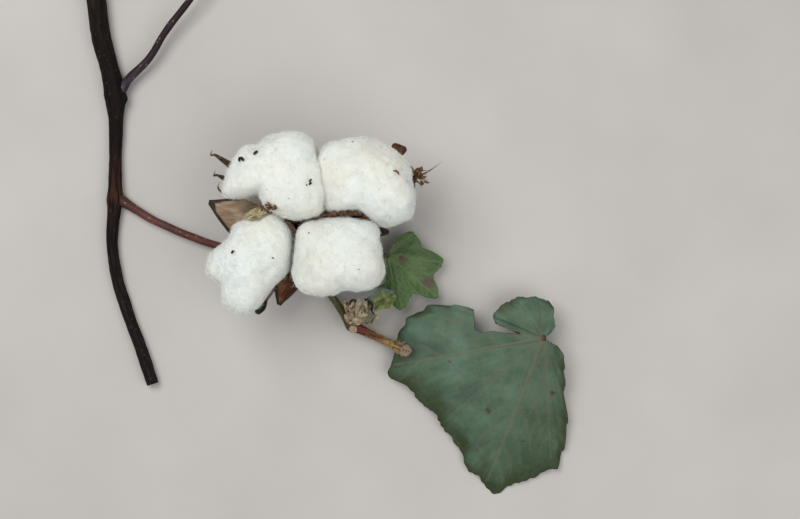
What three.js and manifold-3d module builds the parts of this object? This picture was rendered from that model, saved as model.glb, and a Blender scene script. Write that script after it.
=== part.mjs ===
// Cut cotton branch with one open boll, lying on a flat surface.
// Millimetres, +Z up. The boll faces up, the stem lies along its left and the large leaf along its right.
import * as THREE from "three";
import { mergeVertices } from "three/addons/utils/BufferGeometryUtils.js";
import Module from "manifold-3d";

const wasm = await Module();
wasm.setup();

// Driving sizes. Places are measured from the boll's axis, at x = 0, y = 0, above the surface at z = 0.
const SEAT_GAP = 0.3; // between a piece and the one that carries it
const LOCK_HEIGHT = 41; // middle of the locks of lint
const LOCK_DROP = 20; // from a lock's middle to its foot in the bur
const BUR_HEIGHT = 17.6; // foot of the dry valves
const BUR_RADIUS = 6.3;
const CALYX_BOTTOM = 12.5;
const VALVE_THICKNESS = 1.1;
const BRACT_THICKNESS = 0.8;
const LEAF_THICKNESS = 1.1;
const LEAFLET_THICKNESS = 0.6;
const FORK_RADIUS = 4.3;
const STEM_NODE_RADIUS = 3.1;
const BOLL_NODE = point(-1.7, -18.8, 6);
const BUD_NODE = point(17.5, -44.8, 8.5);
const LARGE_LEAF_JOIN = point(100, -49.6, 17);
const SMALL_LEAF_JOIN = point(33, -14, 12);

const branch = new THREE.Group();

function point(x, y, z) {
  return new THREE.Vector3(x, y, z);
}

function finish(color, roughness) {
  return new THREE.MeshStandardMaterial({ color, roughness, metalness: 0, flatShading: true });
}

// A closed geometry from its points and faces. Nothing reaches below the surface that the branch lies on.
function skin(points, faces) {
  const geometry = new THREE.BufferGeometry();
  geometry.setFromPoints(points.map(({ x, y, z }) => point(x, y, Math.max(z, 0))));
  geometry.setIndex(faces);
  return geometry;
}

function solidOf(geometry) {
  geometry.deleteAttribute("normal");
  geometry.deleteAttribute("uv");
  const merged = mergeVertices(geometry, 1e-4);
  const vertProperties = new Float32Array(merged.attributes.position.array);
  const triVerts = new Uint32Array(merged.index.array);
  const solid = new wasm.Manifold(new wasm.Mesh({ numProp: 3, vertProperties, triVerts }));
  if (solid.volume() > 0) return solid;
  for (let i = 0; i < triVerts.length; i += 3) {
    [triVerts[i + 1], triVerts[i + 2]] = [triVerts[i + 2], triVerts[i + 1]];
  }
  return new wasm.Manifold(new wasm.Mesh({ numProp: 3, vertProperties, triVerts }));
}

// What is left of a solid once its neighbours have their room. A scrap beyond a neighbour is dropped.
function clearOf(solid, rooms) {
  const left = rooms.reduce((rest, room) => rest.subtract(room), solid);
  return left.decompose().sort((a, b) => b.volume() - a.volume())[0];
}

function add(name, solid, material) {
  const { vertProperties, triVerts } = solid.getMesh();
  const geometry = new THREE.BufferGeometry();
  geometry.setAttribute("position", new THREE.BufferAttribute(vertProperties, 3));
  geometry.setIndex(new THREE.BufferAttribute(triVerts, 1));
  const mesh = new THREE.Mesh(geometry, material);
  mesh.name = name;
  branch.add(mesh);
}

// A round limb through its stops, each a place and a radius. Swell makes the room that the limb needs.
function limb(stops, { sides = 10, steps = 4, swell = 0 } = {}) {
  const curve = new THREE.CatmullRomCurve3(stops.map(([place]) => place));
  const spans = stops.length - 1;
  const up = point(0, 0, 1);
  const points = [];
  for (let row = 0; row <= spans * steps; row++) {
    const at = row / steps;
    const span = Math.min(Math.floor(at), spans - 1);
    const radius = swell + THREE.MathUtils.lerp(stops[span][1], stops[span + 1][1], at - span);
    const ahead = curve.getTangent(at / spans);
    const end = row === 0 ? -swell : row === spans * steps ? swell : 0;
    const middle = curve.getPoint(at / spans).addScaledVector(ahead, end);
    up.addScaledVector(ahead, -up.dot(ahead)).normalize();
    const aside = ahead.clone().cross(up);
    for (let i = 0; i < sides; i++) {
      const turn = (2 * Math.PI * i) / sides;
      const rim = middle.clone().addScaledVector(up, radius * Math.cos(turn));
      points.push(rim.addScaledVector(aside, radius * Math.sin(turn)));
    }
  }
  return solidOf(skin(points, tubeFaces(points, sides)));
}

// Faces of a tube of equal rings, with a fan over each end, whose two middles are added to the points.
function tubeFaces(points, sides) {
  const faces = [];
  const last = points.length - sides;
  const ends = [points.slice(0, sides), points.slice(last)];
  const [foot, tip] = ends.map((rim) => {
    const middle = rim.reduce((sum, p) => sum.add(p), point(0, 0, 0)).divideScalar(sides);
    return points.push(middle) - 1;
  });
  for (let i = 0; i < sides; i++) {
    const next = (i + 1) % sides;
    for (let row = 0; row < last; row += sides) {
      faces.push(row + i, row + next, row + sides + next);
      faces.push(row + i, row + sides + next, row + sides + i);
    }
    faces.push(foot, next, i);
    faces.push(tip, last + i, last + next);
  }
  return faces;
}

// A thin closed sheet over a grid. middle(u, v) gives the middle of its thickness, u and v from 0 to 1.
function sheet(middle, columns, rows, thickness, swell = 0) {
  const margin = swell > 0 ? 0.015 : 0;
  const half = thickness / 2 + swell;
  const small = 1e-3;
  const layers = [[], []];
  for (let row = 0; row <= rows; row++) {
    for (let column = 0; column <= columns; column++) {
      const u = -margin + (column / columns) * (1 + 2 * margin);
      const v = -margin + (row / rows) * (1 + 2 * margin);
      const place = middle(u, v);
      const along = middle(u + small, v).sub(middle(u - small, v));
      const across = middle(u, v + small).sub(middle(u, v - small));
      const normal = along.cross(across).normalize();
      layers[0].push(place.clone().addScaledVector(normal, half));
      layers[1].push(place.clone().addScaledVector(normal, -half));
    }
  }
  const below = layers[0].length;
  const width = columns + 1;
  const faces = [];
  const quad = (a, b, c, d) => faces.push(a, b, c, a, c, d);
  const rim = [];
  for (let column = 0; column < columns; column++) rim.push(column);
  for (let row = 0; row < rows; row++) rim.push(columns + row * width);
  for (let column = columns; column > 0; column--) rim.push(rows * width + column);
  for (let row = rows; row > 0; row--) rim.push(row * width);
  for (let row = 0; row < rows; row++) {
    for (let column = 0; column < columns; column++) {
      const a = row * width + column;
      quad(a, a + 1, a + 1 + width, a + width);
      quad(below + a, below + a + width, below + a + 1 + width, below + a + 1);
    }
  }
  rim.forEach((a, i) => {
    const b = rim[(i + 1) % rim.length];
    quad(below + a, below + b, b, a);
  });
  return solidOf(skin(layers.flat(), faces));
}

// A lump: the furthest reach of its balls in each direction from the first one's middle, blended.
function lump(balls, detail, swell = 0) {
  const BLEND = 0.9; // the higher, the sharper the creases between balls
  const heart = balls[0][0];
  const geometry = new THREE.IcosahedronGeometry(1, detail);
  const corners = geometry.attributes.position;
  for (let i = 0; i < corners.count; i++) {
    const ray = new THREE.Vector3().fromBufferAttribute(corners, i).normalize();
    let sum = 0;
    for (const [middle, radius] of balls) {
      const offset = middle.clone().sub(heart);
      const along = offset.dot(ray);
      const inside = along * along - offset.lengthSq() + radius * radius;
      if (inside > 0) sum += Math.exp(BLEND * (along + Math.sqrt(inside)));
    }
    const reach = Math.log(sum) / BLEND + swell;
    const place = heart.clone().addScaledVector(ray, reach);
    corners.setXYZ(i, place.x, place.y, place.z);
  }
  return solidOf(geometry);
}

function bearing(degrees, distance, height = 0) {
  const turn = THREE.MathUtils.degToRad(degrees);
  return point(distance * Math.cos(turn), distance * Math.sin(turn), height);
}

// The calyx is a low dried cup under the boll. The boll's stalk ends under it.
function calyx(swell = 0) {
  const outline = [
    [0, CALYX_BOTTOM - swell],
    [3.6 + swell, CALYX_BOTTOM - swell],
    [BUR_RADIUS + swell, CALYX_BOTTOM + 2.2],
    [BUR_RADIUS + 0.3 + swell, BUR_HEIGHT - 1],
    [BUR_RADIUS - 0.8 + swell, BUR_HEIGHT - 0.6 + swell],
    [0, BUR_HEIGHT - 0.4 + swell],
  ];
  const profile = outline.map(([radius, height]) => new THREE.Vector2(radius, height));
  return solidOf(new THREE.LatheGeometry(profile, 20).rotateX(Math.PI / 2));
}

// Leaves. An outline is a row of bearings round the stalk's join, each with its reach and its height there.
const LARGE_LEAF = [
  [30, 3.5, 15.5], [46, 7.5, 14], [62, 9.5, 13.5], [71, 14, 12], [82, 16, 11], [105, 18, 10.5],
  [128, 20.5, 10], [143, 22.5, 10], [156, 23.5, 10.5], [160, 41, 9], [165, 51, 8], [173, 59.5, 7],
  [183, 63.5, 6], [193, 69, 5], [202, 61, 5], [218, 57.5, 4], [233, 61, 3], [246, 67.5, 1.5],
  [253, 72, 0], [263, 64, 2], [277, 57.5, 2.3], [281, 51, 2.5], [287, 40, 4.5], [292, 26, 8],
  [304, 17, 10.5], [317, 12.5, 12], [330, 7, 15.5],
];
const LARGE_LEAF_CLEFT = [
  [69.6, -34], [70.8, -43.3], [70.4, -46.1], [74, -47.6], [78.4, -46.8], [90, -48.5],
  [90, -47.7], [80, -43.7], [78.8, -41.5], [80, -34],
]; // x and y round the narrow cleft between two lobes
const SMALL_LEAF = [
  [-150, 8, 11], [-119, 13, 9.5], [-97, 16, 8], [-76, 24.5, 6.5], [-56, 20.5, 7], [-40, 28.5, 6.5],
  [-24, 22, 7], [-7, 24.5, 7], [14, 15.5, 8.5], [40, 15, 8.5], [62, 9, 10.5],
];
const JOIN_RADIUS = 1.3; // the blade starts this far from the middle of the stalk's join

function leafBlade(join, outline, columns, rows, fold, swell = 0) {
  const { clamp, lerp, smoothstep } = THREE.MathUtils;
  const last = outline.length - 1;
  const first = outline[0][0];
  const middle = (u, v) => {
    const angle = first + (outline[last][0] - first) * u;
    const following = outline.findIndex((stop) => stop[0] > angle);
    const stop = following < 0 ? last : Math.max(following, 1);
    const [fromAngle, fromReach, fromHeight] = outline[stop - 1];
    const [toAngle, toReach, toHeight] = outline[stop];
    const between = smoothstep(angle, fromAngle, toAngle);
    const out = lerp(JOIN_RADIUS, lerp(fromReach, toReach, between), v);
    const part = clamp(v, 0, 1);
    const billow = fold * Math.sin(Math.PI * part) * Math.cos((angle * Math.PI) / 30);
    const height = lerp(join.z, lerp(fromHeight, toHeight, between), part ** 1.3) + billow;
    return bearing(angle, out, height).add(point(join.x, join.y, 0));
  };
  return sheet(middle, columns, rows, LEAF_THICKNESS, swell);
}
const largeBlade = (swell) => leafBlade(LARGE_LEAF_JOIN, LARGE_LEAF, 54, 6, 0.8, swell);
const smallBlade = (swell) => leafBlade(SMALL_LEAF_JOIN, SMALL_LEAF, 32, 4, 0.5, swell);

// An upright prism over an outline, taller than the leaf.
function prism(outline) {
  const shape = new THREE.Shape(outline.map(([x, y]) => new THREE.Vector2(x, y)));
  return solidOf(new THREE.ExtrudeGeometry(shape, { depth: 2 * LARGE_LEAF_JOIN.z, bevelEnabled: false }));
}

// Limbs, each a row of stops with a place and a radius, and what it meets on the way. The stem's thick end
// lies at the far end, where the side shoot leaves it. Both of its ends are cut.
const darkBark = finish(0x3b2a27, 0.8);
const purpleBark = finish(0x4a2a33, 0.6);
const redBark = finish(0xa9614f, 0.6);
const greenBark = finish(0x7c8450, 0.6);
const youngBark = finish(0xb98a4c, 0.7);
const rooms = {
  calyx: calyx(SEAT_GAP),
  large_leaf: largeBlade(SEAT_GAP),
  small_leaf: smallBlade(SEAT_GAP),
};
const LIMBS = {
  main_stem: {
    bark: darkBark,
    shape: { sides: 12, steps: 2 },
    meets: [],
    stops: [
      [point(-95.9, 109.9, 4.4), 4.4],
      [point(-92.5, 82.4, 4.1), 4.1],
      [point(-88.8, 67.5, 4), 4],
      [point(-86.3, 56, FORK_RADIUS), FORK_RADIUS],
      [point(-86.2, 46, 3.2), 3.2],
      [point(-86.5, 29.5, 2.8), 2.8],
      [point(-86.6, 10.6, STEM_NODE_RADIUS), STEM_NODE_RADIUS],
      [point(-88, -8.3, 2.5), 2.5],
      [point(-85.9, -23.7, 2.5), 2.5],
      [point(-81.4, -38.6, 2.6), 2.6],
      [point(-75.7, -54, 2.6), 2.6],
      [point(-70, -70.7, 2.7), 2.7],
    ],
  },
  side_shoot: {
    bark: purpleBark,
    shape: { sides: 8, steps: 3 },
    meets: ["main_stem"],
    stops: [
      [point(-86, 54, 4.6), 2.2],
      [point(-80.5, 62.5, 5), 1.9],
      [point(-71.2, 71.6, 6), 1.6],
      [point(-63.5, 83.6, 7), 1.5],
      [point(-52.7, 96.7, 9), 1.4],
      [point(-46.9, 104.3, 10), 1.4],
    ],
  },
  fruiting_branch: {
    bark: redBark,
    shape: { sides: 10, steps: 3 },
    meets: ["main_stem"],
    stops: [
      [point(-87, 11.4, 3.1), 2.3],
      [point(-80, 7.6, 3.6), 2],
      [point(-71, 2, 4), 1.8],
      [point(-55, -5.2, 4.1), 1.7],
      [point(-41, -10.1, 4.2), 1.7],
      [point(-20, -15.3, 5), 1.7],
      [point(-6, -18.2, 5.8), 1.9],
      [BOLL_NODE, 2.7],
      [point(1.2, -19.8, 6.2), 1.6],
    ],
  },
  boll_stalk: {
    bark: greenBark,
    shape: { sides: 8, steps: 4 },
    meets: ["fruiting_branch", "calyx"],
    stops: [
      [BOLL_NODE, 1.7],
      [point(-1.2, -9.5, 5), 1.6],
      [point(-0.4, -2.5, 7.5), 1.7],
      [point(0, 0, CALYX_BOTTOM), 2.4],
    ],
  },
  second_internode: {
    bark: greenBark,
    shape: { sides: 8, steps: 3 },
    meets: ["fruiting_branch", "boll_stalk"],
    stops: [
      [BOLL_NODE, 1.8],
      [point(3.5, -25.5, 6), 1.6],
      [point(9, -32.4, 6.6), 1.6],
      [point(14, -39.6, 7.6), 1.7],
      [BUD_NODE, 2.7],
      [point(19.2, -46.6, 8.9), 1.8],
    ],
  },
  young_internode: {
    bark: youngBark,
    shape: { sides: 8, steps: 3 },
    meets: ["second_internode"],
    stops: [
      [BUD_NODE, 2],
      [point(23.5, -47.3, 9.6), 2],
      [point(28.5, -49.6, 10.6), 1.7],
      [point(35, -52.6, 11.8), 1.7],
      [point(38.4, -54.1, 12.4), 2.5],
      [point(40.4, -55.1, 12.8), 2],
    ],
  },
  large_leaf_stalk: {
    bark: redBark,
    shape: { sides: 6, steps: 3 },
    meets: ["second_internode", "young_internode", "large_leaf"],
    stops: [
      [BUD_NODE, 1.3],
      [point(20.6, -46.3, 5.4), 1.2],
      [point(26, -48.9, 3.8), 1.2],
      [point(36, -53.7, 2.4), 1.2],
      [point(46, -55.5, 1.8), 1.2],
      [point(70, -52, 2.2), 1.2],
      [point(92, -52, 8), 1.2],
      [LARGE_LEAF_JOIN, 1.5],
    ],
  },
  small_leaf_stalk: {
    bark: greenBark,
    shape: { sides: 6, steps: 3 },
    meets: ["fruiting_branch", "boll_stalk", "second_internode", "small_leaf"],
    stops: [
      [BOLL_NODE, 1],
      [point(8, -17.5, 5), 0.9],
      [point(22, -15.5, 4.5), 0.9],
      [SMALL_LEAF_JOIN, 1.1],
    ],
  },
};
for (const [name, { bark, shape, meets, stops }] of Object.entries(LIMBS)) {
  add(name, clearOf(limb(stops, shape), meets.map((other) => rooms[other])), bark);
  rooms[name] = limb(stops, { ...shape, swell: SEAT_GAP });
}
add("calyx", calyx(), finish(0x6f5a3c, 0.85));
add("large_leaf", largeBlade().subtract(prism(LARGE_LEAF_CLEFT)), finish(0x3f5a4b, 0.6));

// The bur: four pointed valves that stand out between the locks, cupped and rising to their tips.
const VALVES = {
  left: { angle: 179, length: 40.2, halves: [8.6, 15.2], rise: 20, cup: 3.5, sway: -7, roll: -2.5 },
  lower: { angle: 250, length: 37.5, halves: [7.2, 7.2], rise: 6, cup: 3, sway: 0, roll: 0 },
  right: { angle: -8, length: 34, halves: [5.5, 5.5], rise: 15, cup: 3, sway: 0, roll: 0 },
  upper: { angle: 96, length: 33, halves: [9.5, 9.5], rise: 9, cup: 3, sway: 0, roll: 0 },
};
const VALVE_FOOT = 3.2; // distance of a valve's foot from the axis

function valve({ angle, length, halves, rise, cup, sway, roll }, swell = 0) {
  const middle = (u, v) => {
    const across = 2 * v - 1;
    const out = Math.max(u, 0);
    const full = Math.sin(0.12 + 0.92 * Math.PI * out ** 0.85);
    const height = BUR_HEIGHT + rise * out ** 1.5 + full * (cup * across * across + roll * across);
    const place = bearing(angle, VALVE_FOOT + (length - VALVE_FOOT) * u, height);
    const edge = across * full * halves[across < 0 ? 0 : 1];
    return place.add(bearing(angle + 90, edge + sway * out ** 3));
  };
  return sheet(middle, 9, 6, VALVE_THICKNESS, swell);
}
const husk = finish(0x8d7150, 0.85);
const bur = [rooms.calyx];
for (const [name, shape] of Object.entries(VALVES)) {
  add("valve_" + name, clearOf(valve(shape), bur), husk);
  bur.push(valve(shape, SEAT_GAP));
}

// Four locks of lint, each a plump body that narrows to a foot in the bur. Its outline from above is a row
// of reaches from its middle, first from +X to -X round through +Y, then on round to +X.
const LOCKS = {
  upper_left: {
    middle: point(-12, 17.5, LOCK_HEIGHT + 1),
    rise: 16.8,
    reaches: [
      20.5, 19, 21.5, 20.5, 19, 17, 15, 17.5, 19,
      21.5, 21.5, 13.6, 12.4, 14, 17.5, 20.5, 23.5, 22.5,
    ],
  },
  upper_right: {
    middle: point(25, 15.9, LOCK_HEIGHT),
    rise: 16,
    reaches: [
      18.5, 17.5, 17, 17, 17, 18, 19.5, 23, 23,
      22, 22, 20, 14.5, 13, 16.5, 20.5, 23, 21.5,
    ],
  },
  lower_left: {
    middle: point(-21.7, -14.9, LOCK_HEIGHT - 2),
    rise: 14,
    reaches: [
      16.5, 18, 20.5, 21, 17.5, 15.5, 15.5, 13.5, 14.5,
      18, 19.5, 17.5, 22.5, 24.5, 20, 15.5, 15, 15.5,
    ],
  },
  lower_right: {
    middle: point(13.4, -14.9, LOCK_HEIGHT),
    rise: 15.6,
    reaches: [
      18.5, 18.5, 20, 17.5, 16.5, 16.5, 17.5, 20.5, 18.5,
      18.5, 20, 20.5, 19, 16.5, 14, 16, 19.5, 20,
    ],
  },
};
const FOOT_SHARE = 0.4; // a lock's foot stands this share of its middle's distance from the boll's axis
const LOCK_DETAIL = 7; // how finely a lock's surface is divided

// The reach at a bearing, on a smooth closed curve through the reaches.
function reachAt(reaches, degrees) {
  const count = reaches.length;
  const at = ((degrees / 360) * count + count) % count;
  const start = Math.floor(at);
  const t = at - start;
  const [a, b, c, d] = [-1, 0, 1, 2].map((step) => reaches[(start + step + count) % count]);
  return b + 0.5 * t * (c - a + t * (2 * a - 5 * b + 4 * c - d + t * (3 * (b - c) + d - a)));
}

function lock({ middle, rise, reaches }, swell = 0) {
  const geometry = new THREE.IcosahedronGeometry(1, LOCK_DETAIL);
  const corners = geometry.attributes.position;
  const shift = point(middle.x, middle.y, 0).multiplyScalar(FOOT_SHARE - 1);
  for (let i = 0; i < corners.count; i++) {
    const ray = new THREE.Vector3().fromBufferAttribute(corners, i).normalize();
    const turn = THREE.MathUtils.radToDeg(Math.atan2(ray.y, ray.x));
    const across = Math.hypot(ray.x, ray.y) / (reachAt(reaches, turn) + swell);
    const level = Math.abs(ray.z) / ((ray.z > 0 ? rise : LOCK_DROP) + swell);
    const plump = ray.z > 0 ? 2.3 : 1.7; // a higher power is plumper
    const place = ray.multiplyScalar((across ** plump + level ** plump) ** (-1 / plump));
    const sunk = Math.max(-place.z / LOCK_DROP, 0);
    place.addScaledVector(shift, sunk ** 2).add(middle);
    corners.setXYZ(i, place.x, place.y, place.z);
  }
  return solidOf(geometry);
}
const whiteLint = finish(0xf1f1ec, 1);
const lintRooms = [...bur];
for (const [name, shape] of Object.entries(LOCKS)) {
  add("lock_" + name, clearOf(lock(shape), lintRooms), whiteLint);
  lintRooms.push(lock(shape, SEAT_GAP));
}

// Three dried bracts under the boll, each with seven pointed teeth of its own lengths, and its heights from
// foot to tip. Two belly down to the surface.
const BRACTS = {
  left: { angle: 153, spread: 26, blade: 36, teeth: [3, 4, 13, 8, 4, 3, 3], slope: [13, 6, 0.2, 8, 27] },
  right: { angle: 30, spread: 24, blade: 36, teeth: [3, 3, 13, 4, 13, 4, 3], slope: [13, 6, 0.2, 8, 29] },
  lower: { angle: 240, spread: 24, blade: 30, teeth: [3, 3, 4, 12, 4, 3, 3], slope: [13, 12.6, 12, 13, 15] },
};

function bract({ angle, spread, blade, teeth, slope }) {
  const heights = new THREE.CatmullRomCurve3(slope.map((height, i) => point(i, height, 0)));
  const longest = blade + Math.max(...teeth);
  const spans = teeth.length - 1;
  const middle = (u, v) => {
    const across = 2 * u - 1;
    const nearest = THREE.MathUtils.clamp(Math.round(spans * u), 0, spans);
    const tooth = teeth[nearest] * Math.abs(Math.cos(Math.PI * spans * u)) ** 1.6;
    const edge = blade * (1 - 0.2 * across * across) + tooth;
    const out = BUR_RADIUS - 1.5 + (edge - BUR_RADIUS + 1.5) * v;
    const at = THREE.MathUtils.clamp((out - BUR_RADIUS) / (longest - BUR_RADIUS), 0, 1);
    return bearing(angle + spread * across, out, heights.getPoint(at).y);
  };
  return sheet(middle, 4 * spans, 6, BRACT_THICKNESS);
}
const dryBract = finish(0x75573a, 0.9);
for (const [name, shape] of Object.entries(BRACTS)) {
  const near = [rooms.calyx, rooms.boll_stalk, rooms.fruiting_branch];
  add("bract_" + name, clearOf(bract(shape), near), dryBract);
}

// What is left at the second node: a shrivelled flower bud and a crumpled young leaflet.
const BUD_BALLS = [
  [point(22, -38.8, 13), 4.2],
  [point(18.8, -36, 13.5), 2.8],
  [point(26, -37.5, 13), 2.7],
  [point(20.2, -42, 10.5), 3],
];
const bud = clearOf(lump(BUD_BALLS, 3), [rooms.second_internode, rooms.young_internode]);
add("dried_bud", bud, finish(0xa08a63, 0.9));
const leafletMiddle = (u, v) => {
  const across = (2 * v - 1) * 4.6 * Math.sin(0.35 + 2.4 * Math.max(u, 0));
  const wave = 0.7 * Math.sin(7 * u) * (2 * v - 1);
  return point(24, -36.4, 14.5 + wave).add(bearing(26, 13.5 * u)).add(bearing(116, across));
};
const leaflet = sheet(leafletMiddle, 8, 5, LEAFLET_THICKNESS);
const leafletRooms = [lump(BUD_BALLS, 3, SEAT_GAP), ...lintRooms];
add("shrivelled_leaflet", clearOf(leaflet, leafletRooms), finish(0x9aa05c, 0.7));
add("small_leaf", clearOf(smallBlade(), lintRooms), finish(0x58793c, 0.6));

// The part's origin is under the middle of its box, on the surface that it lies on.
const centre = new THREE.Box3().setFromObject(branch).getCenter(point(0, 0, 0));
branch.position.set(-centre.x, -centre.y, 0);

export default branch;
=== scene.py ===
import math

import bmesh
import bpy
import numpy as np
from mathutils.bvhtree import BVHTree
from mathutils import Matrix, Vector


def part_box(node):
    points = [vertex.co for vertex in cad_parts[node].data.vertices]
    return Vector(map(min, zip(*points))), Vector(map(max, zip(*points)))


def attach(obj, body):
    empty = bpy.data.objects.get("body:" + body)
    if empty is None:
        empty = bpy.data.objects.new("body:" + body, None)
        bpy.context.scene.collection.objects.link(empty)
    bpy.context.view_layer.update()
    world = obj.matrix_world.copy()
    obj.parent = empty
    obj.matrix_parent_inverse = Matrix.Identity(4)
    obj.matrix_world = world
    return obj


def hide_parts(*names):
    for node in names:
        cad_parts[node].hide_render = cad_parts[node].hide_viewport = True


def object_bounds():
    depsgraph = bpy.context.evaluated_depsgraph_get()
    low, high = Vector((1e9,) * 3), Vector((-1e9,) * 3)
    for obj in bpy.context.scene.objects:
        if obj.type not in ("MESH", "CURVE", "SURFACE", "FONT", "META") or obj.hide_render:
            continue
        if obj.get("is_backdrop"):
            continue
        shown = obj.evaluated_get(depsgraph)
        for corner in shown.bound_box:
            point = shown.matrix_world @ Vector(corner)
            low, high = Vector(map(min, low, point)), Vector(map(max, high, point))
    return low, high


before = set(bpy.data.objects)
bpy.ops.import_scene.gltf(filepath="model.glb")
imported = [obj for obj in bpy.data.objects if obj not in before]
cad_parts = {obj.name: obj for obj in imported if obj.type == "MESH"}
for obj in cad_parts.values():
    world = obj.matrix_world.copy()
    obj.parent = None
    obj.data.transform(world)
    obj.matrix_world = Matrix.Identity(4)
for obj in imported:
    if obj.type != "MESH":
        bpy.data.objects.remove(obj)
cad_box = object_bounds()


# Main stem. The plant's woody axis, one season's growth of dark ridged bark over pale wood. It grew in one
# piece with the swellings at its fork and its node. Both of its ends are cut, and it lies on the floor.
MM = 0.001
calyx_low, calyx_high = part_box("calyx")
BOLL_AXIS = np.array([*((calyx_low + calyx_high) / 2 / MM)[:2], 0])  # places below are in mm from this axis
FORK = (-86.3, 56, 4.3)
STEM_NODE = (-86.6, 10.6, 3.1)
BUD_KNOB = (-81.8, 54, 5)
MAIN_STEM = [
    (-95.9, 109.9, 4.4, 4.4), (-92.5, 82.4, 4.1, 4.1), (-88.8, 67.5, 4, 4), (*FORK, 4.3),
    (-86.2, 46, 3.2, 3.2), (-86.5, 29.5, 2.8, 2.8), (*STEM_NODE, 3.1), (-88, -8.3, 2.5, 2.5),
    (-85.9, -23.7, 2.5, 2.5), (-81.4, -38.6, 2.6, 2.6), (-75.7, -54, 2.6, 2.6), (-70, -70.7, 2.7, 2.7),
]  # x, y, z and radius
CUT_RINGS = np.array([0.1, 0.45, 0.8, 0.97])  # rings on a cut end, as shares of its radius
BARK_GLOSS = 0.18
COLOURS = {"data_type": "RGBA"}  # for a Mix node, which has its share at 0 and its colours at 6 and 7


def unit(vectors):
    return vectors / np.linalg.norm(vectors, axis=-1, keepdims=True)


def ripple(places, size, seed, waves=14):
    """Smooth random heights, mostly from -1 to 1, with lumps about size mm across."""
    draw = np.random.default_rng(seed)
    ways = unit(draw.normal(size=(waves, 3))) * draw.uniform(0.6, 1.4, (waves, 1)) * math.pi / size
    turns = draw.uniform(0, 2 * math.pi, waves)
    return np.sin(places @ ways.T + turns).sum(-1) / math.sqrt(2 * waves)


def hump(places, middle, reach):
    """1 at the middle of a swelling, falling to nothing past its reach in mm."""
    return np.exp(-(((places - np.array(middle)) / reach) ** 2).sum(-1))


def linear(code):
    """An sRGB hex colour as Blender's linear one."""
    parts = [int(code[i : i + 2], 16) / 255 for i in (1, 3, 5)]
    return [*(p / 12.92 if p <= 0.04045 else ((p + 0.055) / 1.055) ** 2.4 for p in parts), 1.0]


def add(tree, kind, settings, inputs, output=0):
    """Adds a node with its settings, sets or links its inputs, and gives one of its outputs."""
    made = tree.nodes.new("ShaderNode" + kind)
    for name, value in settings.items():
        if name != "stops":
            setattr(made, name, value)
            continue
        elements = made.color_ramp.elements
        for element, (at, code) in zip(elements, (value[0], value[-1])):
            element.position, element.color = at, linear(code)
        for at, code in value[1:-1]:
            elements.new(at).color = linear(code)
    for name, value in inputs.items():
        if isinstance(value, bpy.types.NodeSocket):
            tree.links.new(value, made.inputs[name])
        else:
            made.inputs[name].default_value = linear(value) if isinstance(value, str) else value
    return made.outputs[output]


def finish(name, roughness, ior=1.45):
    """A new material, its node tree, and its shader."""
    material = bpy.data.materials.new(name)
    material.use_nodes = True
    shader = material.node_tree.nodes["Principled BSDF"]
    shader.inputs["Roughness"].default_value = roughness
    shader.inputs["IOR"].default_value = ior
    return material, material.node_tree, shader


def feed(shader, colour, height, depth):
    """Gives a shader its colour, and relief that is depth mm deep."""
    tree = shader.id_data
    normal = add(tree, "Bump", {}, {"Strength": 1.0, "Distance": depth * MM, "Height": height})
    tree.links.new(colour, shader.inputs["Base Color"])
    tree.links.new(normal, shader.inputs["Normal"])


def grained(tree, sizes, detail, kind="TexNoise"):
    """A pattern that follows the piece's own grain, with cells of these three sizes in mm."""
    grain = add(tree, "Attribute", {"attribute_name": "grain"}, {}, "Vector")
    counts = [1 / size for size in sizes]
    place = add(tree, "VectorMath", {"operation": "MULTIPLY"}, {0: grain, 1: counts})
    return add(tree, kind, {}, {"Vector": place, "Scale": 1.0, "Detail": detail})


def piece(name, shape, materials, slot, *stands_for):
    """A piece of the branch, from points in mm, faces, and maybe the material of each face and marks."""
    points, faces, which, marks = (*shape, None, {})[:4]
    places = (np.asarray(points) + BOLL_AXIS) * MM
    places[:, 2] = np.maximum(places[:, 2], 0)  # nothing reaches below the floor
    mesh = bpy.data.meshes.new(name)
    faces = faces.tolist() if isinstance(faces, np.ndarray) else faces
    mesh.from_pydata(places.tolist(), [], faces, shade_flat=False)
    for material in materials:
        mesh.materials.append(material)
    if len(materials) > 1:
        mesh.polygons.foreach_set("material_index", np.asarray(which, np.int32))
    for label, values in marks.items():
        kind, field = ("FLOAT", "value") if values.ndim == 1 else ("FLOAT_VECTOR", "vector")
        mesh.attributes.new(label, kind, "POINT").data.foreach_set(field, values.astype(np.float32).ravel())
    mesh.update()
    made = bpy.data.objects.new(name, mesh)
    bpy.context.scene.collection.objects.link(made)
    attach(made, "root")
    if stands_for:
        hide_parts(*stands_for)


def route(stops, pace):
    """Middles and radii every pace mm or so, on the centripetal curve through the stops."""
    stops = np.array(stops, float)
    places, radii = stops[:, :3], stops[:, 3]
    guides = np.vstack([2 * places[0] - places[1], places, 2 * places[-1] - places[-2]])
    gaps = np.sqrt(np.linalg.norm(np.diff(guides, axis=0), axis=1))
    middles, widths = [], []
    for i in range(len(places) - 1):
        before, start, end, after = guides[i : i + 4]
        d0, d1, d2 = gaps[i : i + 3]
        leaving = ((start - before) / d0 - (end - before) / (d0 + d1) + (end - start) / d1) * d1
        arriving = ((end - start) / d1 - (after - start) / (d1 + d2) + (after - end) / d2) * d1
        count = max(2, round(np.linalg.norm(end - start) / pace))
        t = (np.arange(count + (i == len(places) - 2)) / count)[:, None]
        path = start * (2 * t**3 - 3 * t**2 + 1) + leaving * (t**3 - 2 * t**2 + t)
        middles.append(path + end * (3 * t**2 - 2 * t**3) + arriving * (t**3 - t**2))
        widths.append(radii[i] + (radii[i + 1] - radii[i]) * t[:, 0])
    return np.concatenate(middles), np.concatenate(widths)


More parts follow.
